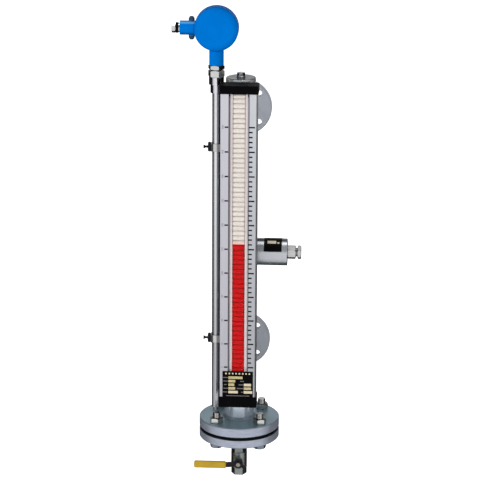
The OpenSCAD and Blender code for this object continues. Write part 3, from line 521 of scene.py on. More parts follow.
def clamp_paint(n, colour):
    """Clamp with a bright front and dark beside the knob, and painted shade that greys it towards
    the chamber.
    """
    x = n.math("SUBTRACT", n.coordinate(0), SENSOR[0] * MM)
    colour = n.mix(n.between(x, 0.2, 3.2), colour, rgb(124, 123, 123))
    return n.mix(n.between(x, -4.4, -6.0), colour, rgb(66, 67, 70))


def conduit_paint(n, colour):
    """Nuts under the head, the upper one with painted shade on its right faces."""
    upper = n.past(n.coordinate(2), CONDUIT_NUTS[1][0] - 0.5, 0.1)
    right = n.spread(n.normal(0), 0.45, 0.6)
    return n.mix(n.both(upper, right), colour, rgb(44, 45, 48))


def process_paint(n, colour):
    """Flange paint with painted shade that darkens it downwards, and darker along the rim."""
    low, high = CONNECTIONS
    colour = fade_down(low, high, 0.8)(n, colour)
    x, height = n.coordinate(0), n.coordinate(2)
    upper = n.math("GREATER_THAN", height, (low + high) / 2 * MM)
    z = n.math("SUBTRACT", height, n.both(upper, high * MM))
    reach = n.math("SQRT", n.math("ADD", n.both(x, x), n.both(z, z)))
    return n.mix(n.both(n.past(reach, PROCESS_RIM, 0.2), 0.3), colour, rgb(96, 98, 104))


def head_paint(n, colour):
    """Blue with painted shade, darker on the head's sides. The cable boss has a painted highlight
    along its top and painted shade on its underside, and the two lugs beside it have dark ends."""
    # Painted shade on the head's sides, where the surface turns away from the front
    side = n.spread(n.math("ABSOLUTE", n.normal(1)), 0.5, 0.1, 0.0, 0.55)
    colour = n.mix(side, colour, rgb(0, 62, 128))
    boss = n.past(n.coordinate(0), SENSOR[0] - BOSS_FROM, -0.2)
    up = n.normal(2)
    # Painted shade under the boss
    under = n.spread(up, -0.45, -0.8, 0.0, 0.75)
    colour = n.mix(n.both(boss, under), colour, rgb(8, 66, 112))
    # Painted highlight along the top of the boss
    line = n.both(n.spread(up, 0.64, 0.76), n.spread(up, 0.96, 0.9, 0.0, 0.85))
    colour = n.mix(n.both(boss, line), colour, rgb(98, 180, 242))
    rise = n.math("ABSOLUTE", n.math("SUBTRACT", n.coordinate(2), HEAD_Z * MM))
    lugs = n.both(n.past(rise, LUG_END, 0.2), boss)
    return n.mix(lugs, colour, rgb(58, 78, 94))


def switch_paint(n, colour):
    """Painted shade along the top and the underside of the limit switch, in place of the dark
    surroundings that its steel would reflect there.
    """
    up = n.normal(2)
    top = n.spread(up, 0.74, 0.9, 0.0, 0.75)
    under = n.spread(up, -0.25, -0.95, 0.0, 0.65)
    return n.mix(n.math("MAXIMUM", top, under), colour, rgb(66, 67, 70))


def slot_paint(n, colour):
    """Painted light: a lighter colour round the slot and inside it, which lifts the shade in the
    gap beside the rails, and the housing's own colour outside.
    """
    return n.mix(n.past(n.from_middle(), SLOT_LIGHT, -0.2), colour, rgb(196, 194, 200))


def trim_paint(n, colour):
    """Strip with painted shade beside its lip, a dark line where it runs under the edge of the
    slot.
    """
    return n.mix(n.past(n.from_middle(), TRIM_GROOVE, 0.1), colour, rgb(92, 90, 94))


def scale_paint(node, factor, outer=None):
    """Scale with painted shade: it darkens downwards, and has a dark line along the slot and, where
    a colour is given for it, one along the outer edge."""
    def paint(n, colour):
        colour = fade_down(0, 560, factor)(n, colour)
        reach = [abs(v.co.x) / MM for v in NODES[node].data.vertices]
        inner, edge = min(reach), max(reach)
        side = n.from_middle()
        colour = n.mix(n.between(side, inner + 1.3, inner + 1.0), colour, rgb(84, 82, 86))
        if outer:
            colour = n.mix(n.between(side, edge - 2.5, edge - 2.2), colour, outer)
        return colour
    return paint


BRIGHT = rgb(228, 229, 231)
CREAM = rgb(250, 240, 231)
PEACH = rgb(250, 222, 208)
RED = rgb(220, 9, 11)
RAIL = rgb(242, 228, 227)
NICKEL = rgb(208, 209, 208)
PLATED = rgb(214, 214, 210)
# Gloss of the plastic rollers
RED_GLOSS = {"specular": 0.03, "subsurface": 0.25}
WHITE_GLOSS = {"specular": 0.2, "subsurface": 0.25}
# Brushed steel of the sensor tube and its collar
DRAWN = {
    "stretch": VERTICAL, "grain": 0.03, "grain_scale": 600, "rough_spread": 0.06,
    "edge": BRIGHT, "paint": tube_paint, "glance": 0.1,
}

# After the colour come roughness, metal, and the spread and scale of the patches
LOOKS = {
    "chamber": surface(
        "chamber_steel", rgb(220, 231, 245), 0.3, 0.65, 0.12, 12, VERTICAL, 0.05, 500, edge=BRIGHT),
    # Dark top face of the cap: painted shade
    "cap": surface(
        "cap_steel", rgb(174, 178, 180), 0.34, 0.75, 0.15, 40, edge=BRIGHT, edge_width=1.2,
        paint=flange_paint(rgb(102, 107, 107), rgb(208, 210, 212))),
    "process": surface(
        "process_flange_paint", rgb(202, 205, 212), 0.6, 0.0, 0.06, 25, grain=0.15,
        edge=rgb(170, 172, 178), paint=process_paint),
    # Dark teal level faces and a dark band under the gasket: painted shade
    "flange": surface(
        "turned_flange", rgb(110, 124, 134), 0.42, 0.6, 0.15, 18, grain=0.1,
        edge=rgb(205, 210, 216), edge_width=0.8,
        paint=seam_paint(rgb(124, 147, 157), rgb(178, 184, 200))),
    "rubber": surface(
        "black_rubber", rgb(14, 15, 18), 0.75, 0.0, 0.25, 60, grain=0.2,
        edge=rgb(36, 37, 40), specular=0.05),
    "bolt": surface(
        "plated_steel", PLATED, 0.2, 1.0, 0.12, 80, edge=BRIGHT, edge_width=0.3, paint=stud_paint),
    # Dark level faces on the flange nuts: painted shade
    "nut": surface(
        "nut_steel", PLATED, 0.2, 1.0, 0.12, 80, edge=BRIGHT, edge_width=0.3,
        paint=flange_paint(rgb(70, 72, 72), PLATED)),
    "titanium": surface(
        "float_metal", rgb(168, 168, 172), 0.35, 1.0, 0.1, 20, LYING, edge=BRIGHT),
    "magnet": surface("magnet", rgb(70, 70, 73), 0.5, 0.8, 0.2, 90, edge=rgb(120, 120, 122)),
    "valve": surface(
        "valve_metal", rgb(138, 144, 142), 0.36, 0.95, 0.2, 50, grain=0.25, grain_scale=700,
        edge=rgb(150, 156, 152), edge_width=0.8),
    "stem": surface("stem_steel", rgb(158, 153, 143), 0.5, 0.4, 0.12, 90, edge=rgb(190, 186, 178)),
    "dark_nut": surface(
        "dark_nut", rgb(70, 70, 68), 0.45, 0.7, 0.2, 90, edge=rgb(120, 120, 116), edge_width=0.3),
    "seat": surface("seat_white", rgb(236, 236, 230), 0.45, 0.0, 0.04, 40),
    "lever": surface(
        "lever_black", rgb(26, 23, 28), 0.45, 0.2, 0.2, 60, edge=rgb(90, 88, 92), specular=0.25),
    "grip": surface(
        "grip_yellow", rgb(200, 162, 24), 0.42, 0.0, 0.1, 45, grain=0.12, grain_scale=500,
        edge=rgb(226, 196, 70), edge_width=1.0),
    "housing": surface(
        "housing_aluminium", rgb(150, 152, 157), 0.4, 0.6, 0.1, 20, VERTICAL,
        edge=rgb(150, 152, 156), paint=slot_paint),
    "caps": surface(
        "black_plastic", rgb(8, 8, 10), 0.55, 0.0, 0.25, 50, grain=0.15,
        edge=rgb(26, 26, 30), edge_width=0.6, specular=0.03),
    "left_scale": surface(
        "left_scale_metal", rgb(212, 210, 218), 0.45, 0.2, 0.08, 14, VERTICAL, 0.06, 700,
        edge=rgb(196, 196, 202), paint=scale_paint("left_scale", 0.8)),
    "right_scale": surface(
        "right_scale_metal", rgb(208, 210, 214), 0.45, 0.2, 0.08, 14, VERTICAL, 0.06, 700,
        edge=rgb(190, 190, 194), paint=scale_paint("right_scale", 0.72, rgb(74, 74, 78))),
    "plate": surface(
        "plate_black", rgb(7, 6, 8), 0.4, 0.0, 0.3, 60, edge=rgb(36, 34, 36), specular=0.04),
    "ink": surface("ink_black", rgb(16, 16, 20), 0.6, 0.0, 0.3, 120, specular=0.1),
    "numeral": surface("ink_grey", rgb(108, 128, 132), 0.6, 0.0, 0.15, 120),
    "print": surface("print_grey", rgb(112, 106, 106), 0.5, 0.0, 0.25, 200),
    "field": surface("print_cream", rgb(206, 190, 138), 0.5, 0.0, 0.15, 160),
    "field_bright": surface("print_pale", rgb(230, 214, 182), 0.5, 0.0, 0.08, 160),
    "red": surface(
        "roller_red", RED, 0.35, 0.0, 0.1, paint=two_colours(RED, CREAM), **RED_GLOSS),
    "white": surface(
        "roller_white", CREAM, 0.35, 0.0, 0.05, paint=two_colours(CREAM, RED), **WHITE_GLOSS),
    "turning": surface(
        "roller_turning", CREAM, 0.35, 0.0, 0.05, paint=two_colours(PEACH, RED, turn=71),
        **WHITE_GLOSS),
    "red_bank": surface(
        "red_bank", RED, 0.35, 0.0, 0.1, paint=two_colours(RED, CREAM, RAIL), **RED_GLOSS),
    "white_bank": surface(
        "white_bank", CREAM, 0.35, 0.0, 0.05, paint=two_colours(CREAM, RED, RAIL), **WHITE_GLOSS),
    "tray": surface("tray_white", RAIL, 0.5, 0.0, 0.05, 60, paint=tray_paint),
    "trim": surface(
        "trim_grey", rgb(204, 202, 208), 0.5, 0.0, 0.06, 40, VERTICAL,
        edge=rgb(220, 220, 224), paint=trim_paint),
    "polished": surface(
        "polished_tube", rgb(242, 243, 248), 0.16, 0.75, 0.06, 14, specular=0.1, **DRAWN),
    "collar": surface("collar_steel", rgb(236, 237, 243), 0.16, 1.0, 0.06, 14, **DRAWN),
    "ball": surface("ball_chrome", rgb(222, 223, 226), 0.1, 1.0, 0.05, 60, rough_spread=0.05),
    "nickel": surface("nickel", NICKEL, 0.2, 1.0, 0.12, 60, edge=BRIGHT, edge_width=0.3),
    "clamp": surface(
        "clamp_nickel", NICKEL, 0.24, 1.0, 0.1, 60, edge=rgb(150, 150, 150), paint=clamp_paint),
    "conduit": surface(
        "conduit_nickel", NICKEL, 0.2, 1.0, 0.12, 60, edge=BRIGHT, edge_width=0.3,
        paint=conduit_paint),
    # Dark edges and dark level faces on the switch's gland and nut: painted shade
    "gland": surface(
        "gland_nickel", rgb(176, 177, 176), 0.3, 1.0, 0.14, 60, edge=rgb(58, 58, 58),
        edge_width=1.0, paint=flange_paint(rgb(104, 105, 105), rgb(204, 205, 204))),
    "board": surface("board_green", rgb(30, 104, 60), 0.4, 0.0, 0.15, 80, edge=rgb(120, 150, 110)),
    "strap": surface("strap_steel", rgb(164, 167, 172), 0.3, 0.65, 0.1, 40, LYING, edge=BRIGHT),
    # The darker edge colour is painted shade, a dark outline round the head
    "blue": surface(
        "head_blue", rgb(0, 119, 213), 0.35, 0.0, 0.06, 22, grain=0.18, grain_scale=420,
        edge=rgb(6, 86, 164), edge_width=0.9, specular=0.004, paint=head_paint),
    "terminal": surface("terminal_cream", rgb(224, 214, 186), 0.5, 0.0, 0.06, 60),
    "switch": surface(
        "switch_steel", rgb(196, 199, 204), 0.26, 0.75, 0.05, 20, grain=0.03, grain_scale=500,
        edge=BRIGHT, paint=switch_paint, glance=0.7),
    "inside": surface("switch_inside", rgb(48, 48, 50), 0.5, 0.0, 0.1, 60),
    "label": surface("label_black", rgb(8, 7, 7), 0.4, 0.0, 0.25, 60, specular=0.05),
    "knob": surface(
        "knob_black", rgb(22, 24, 28), 0.4, 0.3, 0.2, 60, edge=rgb(70, 72, 76), edge_width=0.3,
        specular=0.3),
    "weld": surface("weld_bead", rgb(150, 152, 158), 0.38, 1.0, 0.25, 160, edge=BRIGHT),
}


def window_material():
    """Clear pane, so thin a tint that the rollers show through it unchanged."""
    material, n = new_material("window_clear")
    smear = n.noise(30, (1, 1, 0.3))
    shader = n.add("BsdfPrincipled", {
        "Base Color": (0.55, 0.6, 0.62, 1), "Alpha": 0.01,
        "Roughness": n.spread(smear, *NOISE, 0.03, 0.12),
    })
    n.end(shader.outputs[0])
    return material


LOOKS["window"] = window_material()

NODE_LOOKS = {
    "chamber": "chamber_tube upper_nozzle lower_nozzle", "cap": "chamber_cap",
    "nickel": "vent_plug packing_nut head_gland",
    "process": "upper_process_flange lower_process_flange",
    "flange": "chamber_flange drain_flange", "rubber": "flange_gasket gland_ring",
    "bolt": "flange_bolts flange_nuts", "titanium": "float_shell", "magnet": "float_magnet",
    "valve": "drain_pipe valve_body valve_end", "ball": "valve_ball", "seat": "valve_seats",
    "stem": "valve_stem", "lever": "valve_lever clamp_screws", "grip": "lever_grip",
    "dark_nut": "lever_nut", "housing": "indicator_housing", "window": "indicator_window",
    "caps": "top_end_cap bottom_end_cap", "left_scale": "left_scale",
    "right_scale": "right_scale", "plate": "nameplate",
    "strap": "indicator_straps chamber_straps", "red_bank": "lower_roller_bank",
    "white_bank": "upper_roller_bank", "tray": "flip_tray",
    "red": "roller_1 roller_2 roller_3", "turning": "roller_4", "white": "roller_5 roller_6",
    "polished": "sensor_tube", "board": "reed_chain", "collar": "tube_collar",
    "conduit": "conduit_nuts", "clamp": "tube_clamps", "blue": "head_body head_cover",
    "terminal": "terminal_block", "switch": "switch_body switch_cap",
    "inside": "switch_element", "label": "switch_label",
    "gland": "switch_gland switch_gland_nut",
}
for look, nodes in NODE_LOOKS.items():
    for node in nodes.split():
        mesh = NODES[node].data
        mesh.materials.clear()
        mesh.materials.append(LOOKS[look])


# Pieces

BOLTS = 4
BOLT_CIRCLE = 125
BOLT_R = 8
BOLT_LENGTH = 64
SHANK_R = 7.9
THREAD_FROM = FLANGE_TOP - 4 - DRAIN_BOTTOM
THREAD_PITCH, THREAD_DEPTH = 2, 1.1
BOLT_HEX, BOLT_HEX_H = 24, 11
BOLT_NUT_BORE = 8.15


def flange_bolts():
    """Threaded bolts and chamfered nuts of the chamber's and the drain's flanges."""
    bolts, nuts = Shape(), Shape()
    for i in range(BOLTS):
        turn = (i + 0.5) * 360 / BOLTS
        x = BOLT_CIRCLE / 2 * math.cos(math.radians(turn))
        y = AXIS_Y + BOLT_CIRCLE / 2 * math.sin(math.radians(turn))
        under = place(x, y, DRAIN_BOTTOM - BOLT_HEX_H, spin=turn)
        bolts.hexagon(BOLT_HEX, BOLT_HEX_H, 0, under, chamfer=(True, False))
        seat = place(x, y, DRAIN_BOTTOM)
        bolts.thread(BOLT_R, THREAD_DEPTH, THREAD_PITCH, THREAD_FROM, BOLT_LENGTH, seat)
        bolts.lathe([(SHANK_R, 0), (SHANK_R, THREAD_FROM)], seat, ROD_STEPS)
        nuts.hexagon(BOLT_HEX, BOLT_HEX_H, BOLT_NUT_BORE, place(x, y, FLANGE_TOP, spin=turn))
    bolts.finish("bolt_set", LOOKS["bolt"], "polished_steel", ["flange_bolts"])
    nuts.finish("nut_set", LOOKS["nut"], "polished_steel", ["flange_nuts"])


WELD = 2.6
WELD_RIPPLES = 24
WELD_RIPPLE = 0.12


def weld_size(a):
    """Size of a rippled bead at an angle round the nozzle."""
    return WELD * (1 + WELD_RIPPLE * math.sin(a * WELD_RIPPLES))


def saddle_welds():
    """Rippled beads where the nozzles meet the chamber."""
    beads = Shape()
    for z in CONNECTIONS:
        rows = []
        for a in angles(FINE_STEPS):
            across, up = math.cos(a), math.sin(a)
            x = NOZZLE_R * across
            y = AXIS_Y + math.sqrt(CHAMBER_R ** 2 - x * x)
            size = weld_size(a)
            row = []
            for t in angles(10):
                out = size * math.cos(t)
                row.append((x + out * across, y + size * math.sin(t), z + (NOZZLE_R + out) * up))
            rows.append(row)
        beads.looped(rows, UNMOVED)
    beads.finish("saddle_welds", LOOKS["weld"], "stainless")


def flange_welds():
    """Rippled beads where the nozzles meet the process flanges."""
    beads = Shape()
    steps = 8
    for z in CONNECTIONS:
        rows = []
        for k in range(steps + 1):
            t = math.pi * k / steps - math.pi / 2
            row = []
            for a in angles(FINE_STEPS):
                size = weld_size(a)
                r = NOZZLE_R + size * max(0.0, math.cos(t))
                row.append((r * math.cos(a), r * math.sin(a), size * math.sin(t)))
            rows.append(row)
        beads.grid(rows, place(0, FLANGE_WELD_Y, z, "back"))
    beads.finish("weld_beads", LOOKS["weld"], "stainless")


KNURLS = 24
KNOB_FROM = 10.65
# Radius, height and depth of the knurl along the knob
KNOB_ROWS = (
    (8, 0, 0), (9.2, 0.5, 0), (10, 1.4, 0.7), (10, 4.2, 0.7), (9.2, 5.5, 0), (7.6, 6, 0),
)
KNOB_NECK = [(2.2, 8.65), (2.2, 11)]
KNOB_TAIL = [(3.4, 16.6), (2.6, 17.6), (2.2, 18.5), (2.2, 21.6), (4.4, 25.2), (4.2, 25.65)]


def clamp_knobs():
    """Knurled thumb screws of the two tube clamps."""
    shape = Shape()
    for z in CLAMP_HEIGHTS:
        at = place(*SENSOR, z, "left")
        shape.lathe(KNOB_NECK, at, ROD_STEPS)
        rows = []
        for radius, height, depth in KNOB_ROWS:
            row = []
            for a in angles(FINE_STEPS):
                r = radius - depth * (0.5 + 0.5 * math.cos(KNURLS * a))
                row.append((r * math.cos(a), r * math.sin(a), KNOB_FROM + height))
            rows.append(row)
        shape.closed(rows, at)
        shape.lathe(KNOB_TAIL, at, ROD_STEPS)
    shape.finish("clamp_knobs", LOOKS["knob"], "dark_steel", ["clamp_screws"])


# The head's gland, then the neck of the switch's
GLAND_PROFILE = [
    (7.85, -16), (7.85, -0.2), (8.6, -0.2), (9, 0.3), (9, 2.6), (8.6, 3), (7.85, 3), (7.85, 8.4),
]
GLAND_BORE = 4.5
GLAND_HEX, GLAND_HEX_H, GLAND_HEX_FROM = 18, 8, 8.3
NECK_R = 9.35
NECK_BORE = 5
NECK_HEX, NECK_HEX_H, NECK_HEX_BORE = 25, 17, 9.3
NECK_TIP = (9.3, 24.2)
# Rings cut into the neck's end: how many, how far apart and how deep
NECK_RINGS, NECK_RING_STEP, NECK_RING_DEPTH = 12, 0.6, 0.7


def glands():
    """Cable glands of the head and of the switch."""
    at = place(SENSOR[0] - BOSS_REACH, SENSOR[1], HEAD_Z, "left")
    head, hexagon = Shape(), Shape()
    head.tube(GLAND_PROFILE, GLAND_BORE, at)
    hexagon.hexagon(GLAND_HEX, GLAND_HEX_H, GLAND_BORE, raised(at, GLAND_HEX_FROM))
    head.join(hexagon)
    head.finish("head_gland_hex", LOOKS["nickel"], "nickel", ["head_gland"])
    at = place(SWITCH_END, AXIS_Y, SWITCH_Z, "right")
    neck, hexagon = Shape(), Shape()
    profile = [(NECK_R, z) for z in (-10, -0.1, NECK_HEX_H)]
    for i in range(1, NECK_RINGS):
        depth = NECK_RING_DEPTH if i % 2 else 0
        profile.append((NECK_R - depth, NECK_HEX_H + NECK_RING_STEP * i))
    neck.tube(profile + [NECK_TIP], NECK_BORE, at)
    hexagon.hexagon(NECK_HEX, NECK_HEX_H, NECK_HEX_BORE, at)
    neck.join(hexagon)
    neck.finish("switch_gland_hex", LOOKS["gland"], "nickel", ["switch_gland"])


LABEL_R = SWITCH_R + 0.56
# Each bar's ends along the switch, and its lower and upper edge in degrees up from the front
LABEL_BARS = ((56, 73.5, 52, 68), (76, 80, 52, 60))
PRINT_T = 0.06


def label_bars():
    """Plain pale bars on the switch's label."""
    shape = Shape()
    steps = 8
    for start, end, low, high in LABEL_BARS:
        section = ((start, 0), (end, 0), (end, PRINT_T), (start, PRINT_T))
        rows = []
        for k in range(steps + 1):
            a = math.radians(low + (high - low) * k / steps)
            rows.append([
                (x, AXIS_Y - (LABEL_R + t) * math.cos(a), SWITCH_Z + (LABEL_R + t) * math.sin(a))
                for x, t in section
            ])
        shape.closed(rows, UNMOVED)
    shape.finish("label_bars", LOOKS["field_bright"], "label_black")


# The screws' place beside the middle, and how far behind the chamber
WORM_X, WORM_BEHIND = 9, 4.2
WORM_FLANGE = [(3.6, 0), (3.9, 0.3), (3.9, 1.2), (3.6, 1.5)]
WORM_HEX, WORM_HEX_H, WORM_HEX_FROM = 6, 3.5, 1.5


def strap_screws():
    """Worm screws in the locks of the indicator's straps."""
    shape = Shape()
    for z in STRAP_HEIGHTS:
        at = place(WORM_X, AXIS_Y + CHAMBER_R + WORM_BEHIND, z, "right")
        shape.lathe(WORM_FLANGE, at, 32)
        shape.hexagon(
            WORM_HEX, WORM_HEX_H, 0, raised(at, WORM_HEX_FROM),
            chamfer=(False, True), per_side=4,
        )
    shape.finish("strap_screws", LOOKS["nickel"], "nickel")


# Section of the right-hand strip, as x and y
TRIM_SECTION = (
    (17.55, -182.2), (17.55, -183.7), (17.85, -184.1), (18.6, -184.1),
    (18.8, -183.8), (24, -183.8), (24, -182.2),
)
TRIM_ENDS = (-57, 559)


def slot_trims():
    """Lipped strips that hold the tray, seen beside the rails."""
    shape = Shape()
    for side in (-1, 1):
        rows = [[(side * x, y, z) for x, y in TRIM_SECTION] for z in TRIM_ENDS]
        shape.closed(rows, UNMOVED)
    shape.finish("slot_trims", LOOKS["trim"], "tray_white")


MARKS = 51
MARK_STEP = 10
NUMBERED_EVERY = 5
# The ink is wider than the engraved marks, so that they show dark
INK_W = 3.0
INK_BEVEL = 0.015
RIGHT_LONG, RIGHT_SHORT = 12, 7.5
RIGHT_FROM = SLOT_HALF + 0.02
LEFT_LONG = 7
LEFT_FROM = -SLOT_HALF - 1.5


def scale_marks():
    """Ink printed over the engraved marks of both scales."""
    ink = Shape()
    back, front = SCALE_FACE_Y - 0.01, SCALE_FACE_Y - 0.05

    def mark(start, end, z):
        ink.block((start, front, z - INK_W / 2), (end, back, z + INK_W / 2), INK_BEVEL)

    for i in range(MARKS):
        numbered = i % NUMBERED_EVERY == 0
        length = RIGHT_LONG if numbered else RIGHT_SHORT
        mark(RIGHT_FROM, RIGHT_FROM + length, MARK_STEP * i)
        if numbered:
            mark(LEFT_FROM - LEFT_LONG, LEFT_FROM, MARK_STEP * i)
    ink.finish("scale_ink", LOOKS["ink"], "plate_black")


NUMERAL_X = -31.8
NUMERAL_SIZE = 5.4
# Half the numerals' thickness, and how far their middle lies before the scale
NUMERAL_HALF_T, NUMERAL_BEFORE = 0.02, 0.03


def numerals():
    """Plain numbers beside the left scale's marks."""
    made = []
    for i in range(0, MARKS, NUMBERED_EVERY):
        z = MARK_STEP * i
        curve = bpy.data.curves.new("numeral", "FONT")
        curve.body = str(z)
        curve.size = NUMERAL_SIZE * MM
        curve.extrude = NUMERAL_HALF_T * MM
        curve.align_x = "CENTER"
        curve.align_y = "CENTER"
        text = bpy.data.objects.new("numeral", curve)
        spot = Vector((NUMERAL_X, SCALE_FACE_Y - NUMERAL_BEFORE, z)) * MM
        upwards = TURNS["front"] @ Matrix.Rotation(math.pi / 2, 4, "Z")
        text.matrix_world = Matrix.Translation(spot) @ upwards
        bpy.context.scene.collection.objects.link(text)
        made.append(text)
    bpy.context.view_layer.update()
    graph = bpy.context.evaluated_depsgraph_get()
    bm = bmesh.new()
    for text in made:
        mesh = bpy.data.meshes.new_from_object(text.evaluated_get(graph))
        mesh.transform(text.matrix_world)
        bm.from_mesh(mesh)
        bpy.data.meshes.remove(mesh)
        bpy.data.objects.remove(text)
    mesh = bpy.data.meshes.new("scale_numerals")
    bm.to_mesh(mesh)
    bm.free()
    add_piece("scale_numerals", mesh, LOOKS["numeral"])


PLATE_LEFT, PLATE_WIDTH = -31, 62
PLATE_TOP, PLATE_HEIGHT = -8.5, 55.5
PLATE_FACE_Y = SCALE_FACE_Y - 0.8
PLATE_BEVEL = 0.02
# Height of each kind of bar
PRINT_H, FIELD_H, HEADING_H, FOOTING_H = 2.0, 5.6, 3.2, 1.6
# Rows of bars, as shares of the plate: how far down, then each bar's start, end and kind
PLATE_ROWS = (
    (0.244, ((0.02, 0.18, "print"), (0.195, 0.66, "field"))),
    (0.381, ((0.02, 0.18, "print"), (0.195, 0.42, "field"), (0.58, 0.71, "print"))),
    (0.519, ((0.05, 0.14, "print"), (0.195, 0.39, "field"),
             (0.53, 0.68, "print"), (0.70, 0.94, "field_bright"))),
    (0.662, ((0.03, 0.18, "print"), (0.195, 0.42, "field"),
             (0.47, 0.68, "print"), (0.70, 0.94, "field"))),
    (0.806, ((0.02, 0.17, "print"), (0.195, 0.51, "field_bright"),
             (0.61, 0.68, "print"), (0.70, 0.98, "field_bright"))),
)
# The heading's squares: how many, the first one's middle, their distance and half width
HEADING_SQUARES, HEADING_FROM, HEADING_STEP, HEADING_HALF = 8, 0.117, 0.1095, 0.025
HEADING_DOWN = 0.0875
FOOTING = (0.12, 0.89, 0.95)


def nameplate_print():
    """Plain bars where the nameplate has print."""
    shapes = {"print": Shape(), "field": Shape(), "field_bright": Shape()}

    def bar(kind, start, end, down, tall):
        z = PLATE_TOP - down * PLATE_HEIGHT
        low = (PLATE_LEFT + start * PLATE_WIDTH, PLATE_FACE_Y - PRINT_T, z - tall / 2)
        high = (PLATE_LEFT + end * PLATE_WIDTH, PLATE_FACE_Y + 0.02, z + tall / 2)
        shapes[kind].block(low, high, PLATE_BEVEL)

    for down, bars in PLATE_ROWS:
        for start, end, kind in bars:
            bar(kind, start, end, down, PRINT_H if kind == "print" else FIELD_H)
    for i in range(HEADING_SQUARES):
        middle = HEADING_FROM + i * HEADING_STEP
        start, end = middle - HEADING_HALF, middle + HEADING_HALF
        bar("field_bright", start, end, HEADING_DOWN, HEADING_H)
    bar("print", *FOOTING, FOOTING_H)
    for kind, shape in shapes.items():
        shape.finish("nameplate_" + kind, LOOKS[kind], "plate_black")


CONDUIT_HEX, CONDUIT_BORE, CONDUIT_SPIN = 29, 10.15, -10
PLUG_THREAD = [(4.8, -12), (4.8, 0)]
PLUG_COLLAR_H = 2.5
PLUG_COLLAR = [(8.4, 0), (9, 0.6), (9, 1.9), (8.4, PLUG_COLLAR_H)]
PLUG_HEX, PLUG_HEX_H = 14, 7
# Width across flats, height and bore
SWITCH_NUT = (25, 7.5, 5)
LEVER_NUT = (11, 5, 4.15)
PACKING_NUT = (14, 5, 4.05)


def hexagon_pieces():
    """Nuts and the vent plug with chamfered hexagons."""
    nuts = Shape()
    for z, height in CONDUIT_NUTS:
        nuts.hexagon(CONDUIT_HEX, height, CONDUIT_BORE, place(*SENSOR, z, spin=CONDUIT_SPIN))
    nuts.finish("conduit_nut_set", LOOKS["conduit"], "nickel", ["conduit_nuts"])
    plug = Shape()
    top = place(0, AXIS_Y, CAP_TOP)
    plug.lathe(PLUG_THREAD, top, ROD_STEPS)
    plug.lathe(PLUG_COLLAR, top)
    plug.hexagon(PLUG_HEX, PLUG_HEX_H, 0, raised(top, PLUG_COLLAR_H), chamfer=(False, True))
    plug.finish("vent_plug_hex", LOOKS["nickel"], "nickel", ["vent_plug"])
    nut = Shape()
    nut.hexagon(*SWITCH_NUT, place(SWITCH_NUT_X, AXIS_Y, SWITCH_Z, "right"))
    nut.finish("switch_nut", LOOKS["gland"], "nickel", ["switch_gland_nut"])
    nut = Shape()
    nut.hexagon(*LEVER_NUT, place(0, LEVER_BACK_Y - LEVER_T, VALVE_Z, "front"))
    nut.finish("lever_nut_hex", LOOKS["dark_nut"], "nickel", ["lever_nut"], "drain_lever")
    nut = Shape()
    nut.hexagon(*PACKING_NUT, place(0, PACKING_Y, VALVE_Z, "front"))
    nut.finish("packing_nut_hex", LOOKS["nickel"], "nickel", ["packing_nut"])


GRIP_ENDS = (-92, -25)
GRIP_HALF_T, GRIP_HALF_H = 4, 7.75
GRIP_BELOW = 2.5
GRIP_ROUND, GRIP_ROUND_STEPS = 3.4, 5


def grip():
    """Rounded sleeve on the lever."""
    shape = Shape()
    y = LEVER_BACK_Y - LEVER_T / 2
    z = VALVE_Z - GRIP_BELOW
    low = (GRIP_ENDS[0], y - GRIP_HALF_T, z - GRIP_HALF_H)
    high = (GRIP_ENDS[1], y + GRIP_HALF_T, z + GRIP_HALF_H)
    shape.block(low, high, GRIP_ROUND, GRIP_ROUND_STEPS)
    shape.finish(
        "grip_sleeve", LOOKS["grip"], "grip_yellow", ["lever_grip"], "drain_lever", sharp=60
    )


flange_bolts()
saddle_welds()
clamp_knobs()
glands()
label_bars()
strap_screws()
slot_trims()
scale_marks()
numerals()
nameplate_print()
hexagon_pieces()
grip()
flange_welds()


# Stage, in metres

# The floor lies below the lever's grip when that points down
FLOOR_Z = (VALVE_Z - 105) * MM
FLOOR_HALF = 12
# The cards only show as reflections in metal. Walls stand round the chamber's axis, and others
# lie above it and on the floor behind it.
CARD_TOP = 2.2
CARD_R = 1.0
CARD_BACK = 3.0
FRONT_Y, FRONT_LOW, FRONT_HALF = -4.6, 1.3, 1.6
CARD_LEVELS = {"dark": 0.008, "dim": 0.06, "grey": 0.28}
# Each wall's side, its two ends in degrees round from the front, and its level
WALLS = (
    (-1, 58, 77, "dark"), (-1, 77, 103, "dim"), (-1, 103, 150, "dark"),
    (1, 68, 77, "dark"), (1, 77, 103, "grey"), (1, 103, 150, "dark"),
)
# Each lying card's ends from front to back, its height, half width and level
LYING_CARDS = (
    ("card_floor", -0.2, CARD_BACK, FLOOR_Z + 0.001, CARD_R, "dark"),
    ("card_back_top", 0.75, CARD_BACK, CARD_TOP, CARD_R, "dark"),
    ("card_front_top", FRONT_Y, -0.45, CARD_TOP, FRONT_HALF, "grey"),
)


def stage_plane(name, corners, material):
    mesh = bpy.data.meshes.new(name)
    mesh.from_pydata(corners, [], [(0, 1, 2, 3)])
    mesh.materials.append(material)
    plane = bpy.data.objects.new(name, mesh)
    bpy.context.scene.collection.objects.link(plane)
    return plane


def lying(half, start, end, z):
    """Corners of a level plane."""
    return [(-half, start, z), (half, start, z), (half, end, z), (-half, end, z)]


def standing(a, b, low, high):
    """Corners of an upright plane between two points, each given as x and y."""
    return [(*a, low), (*b, low), (*b, high), (*a, high)]


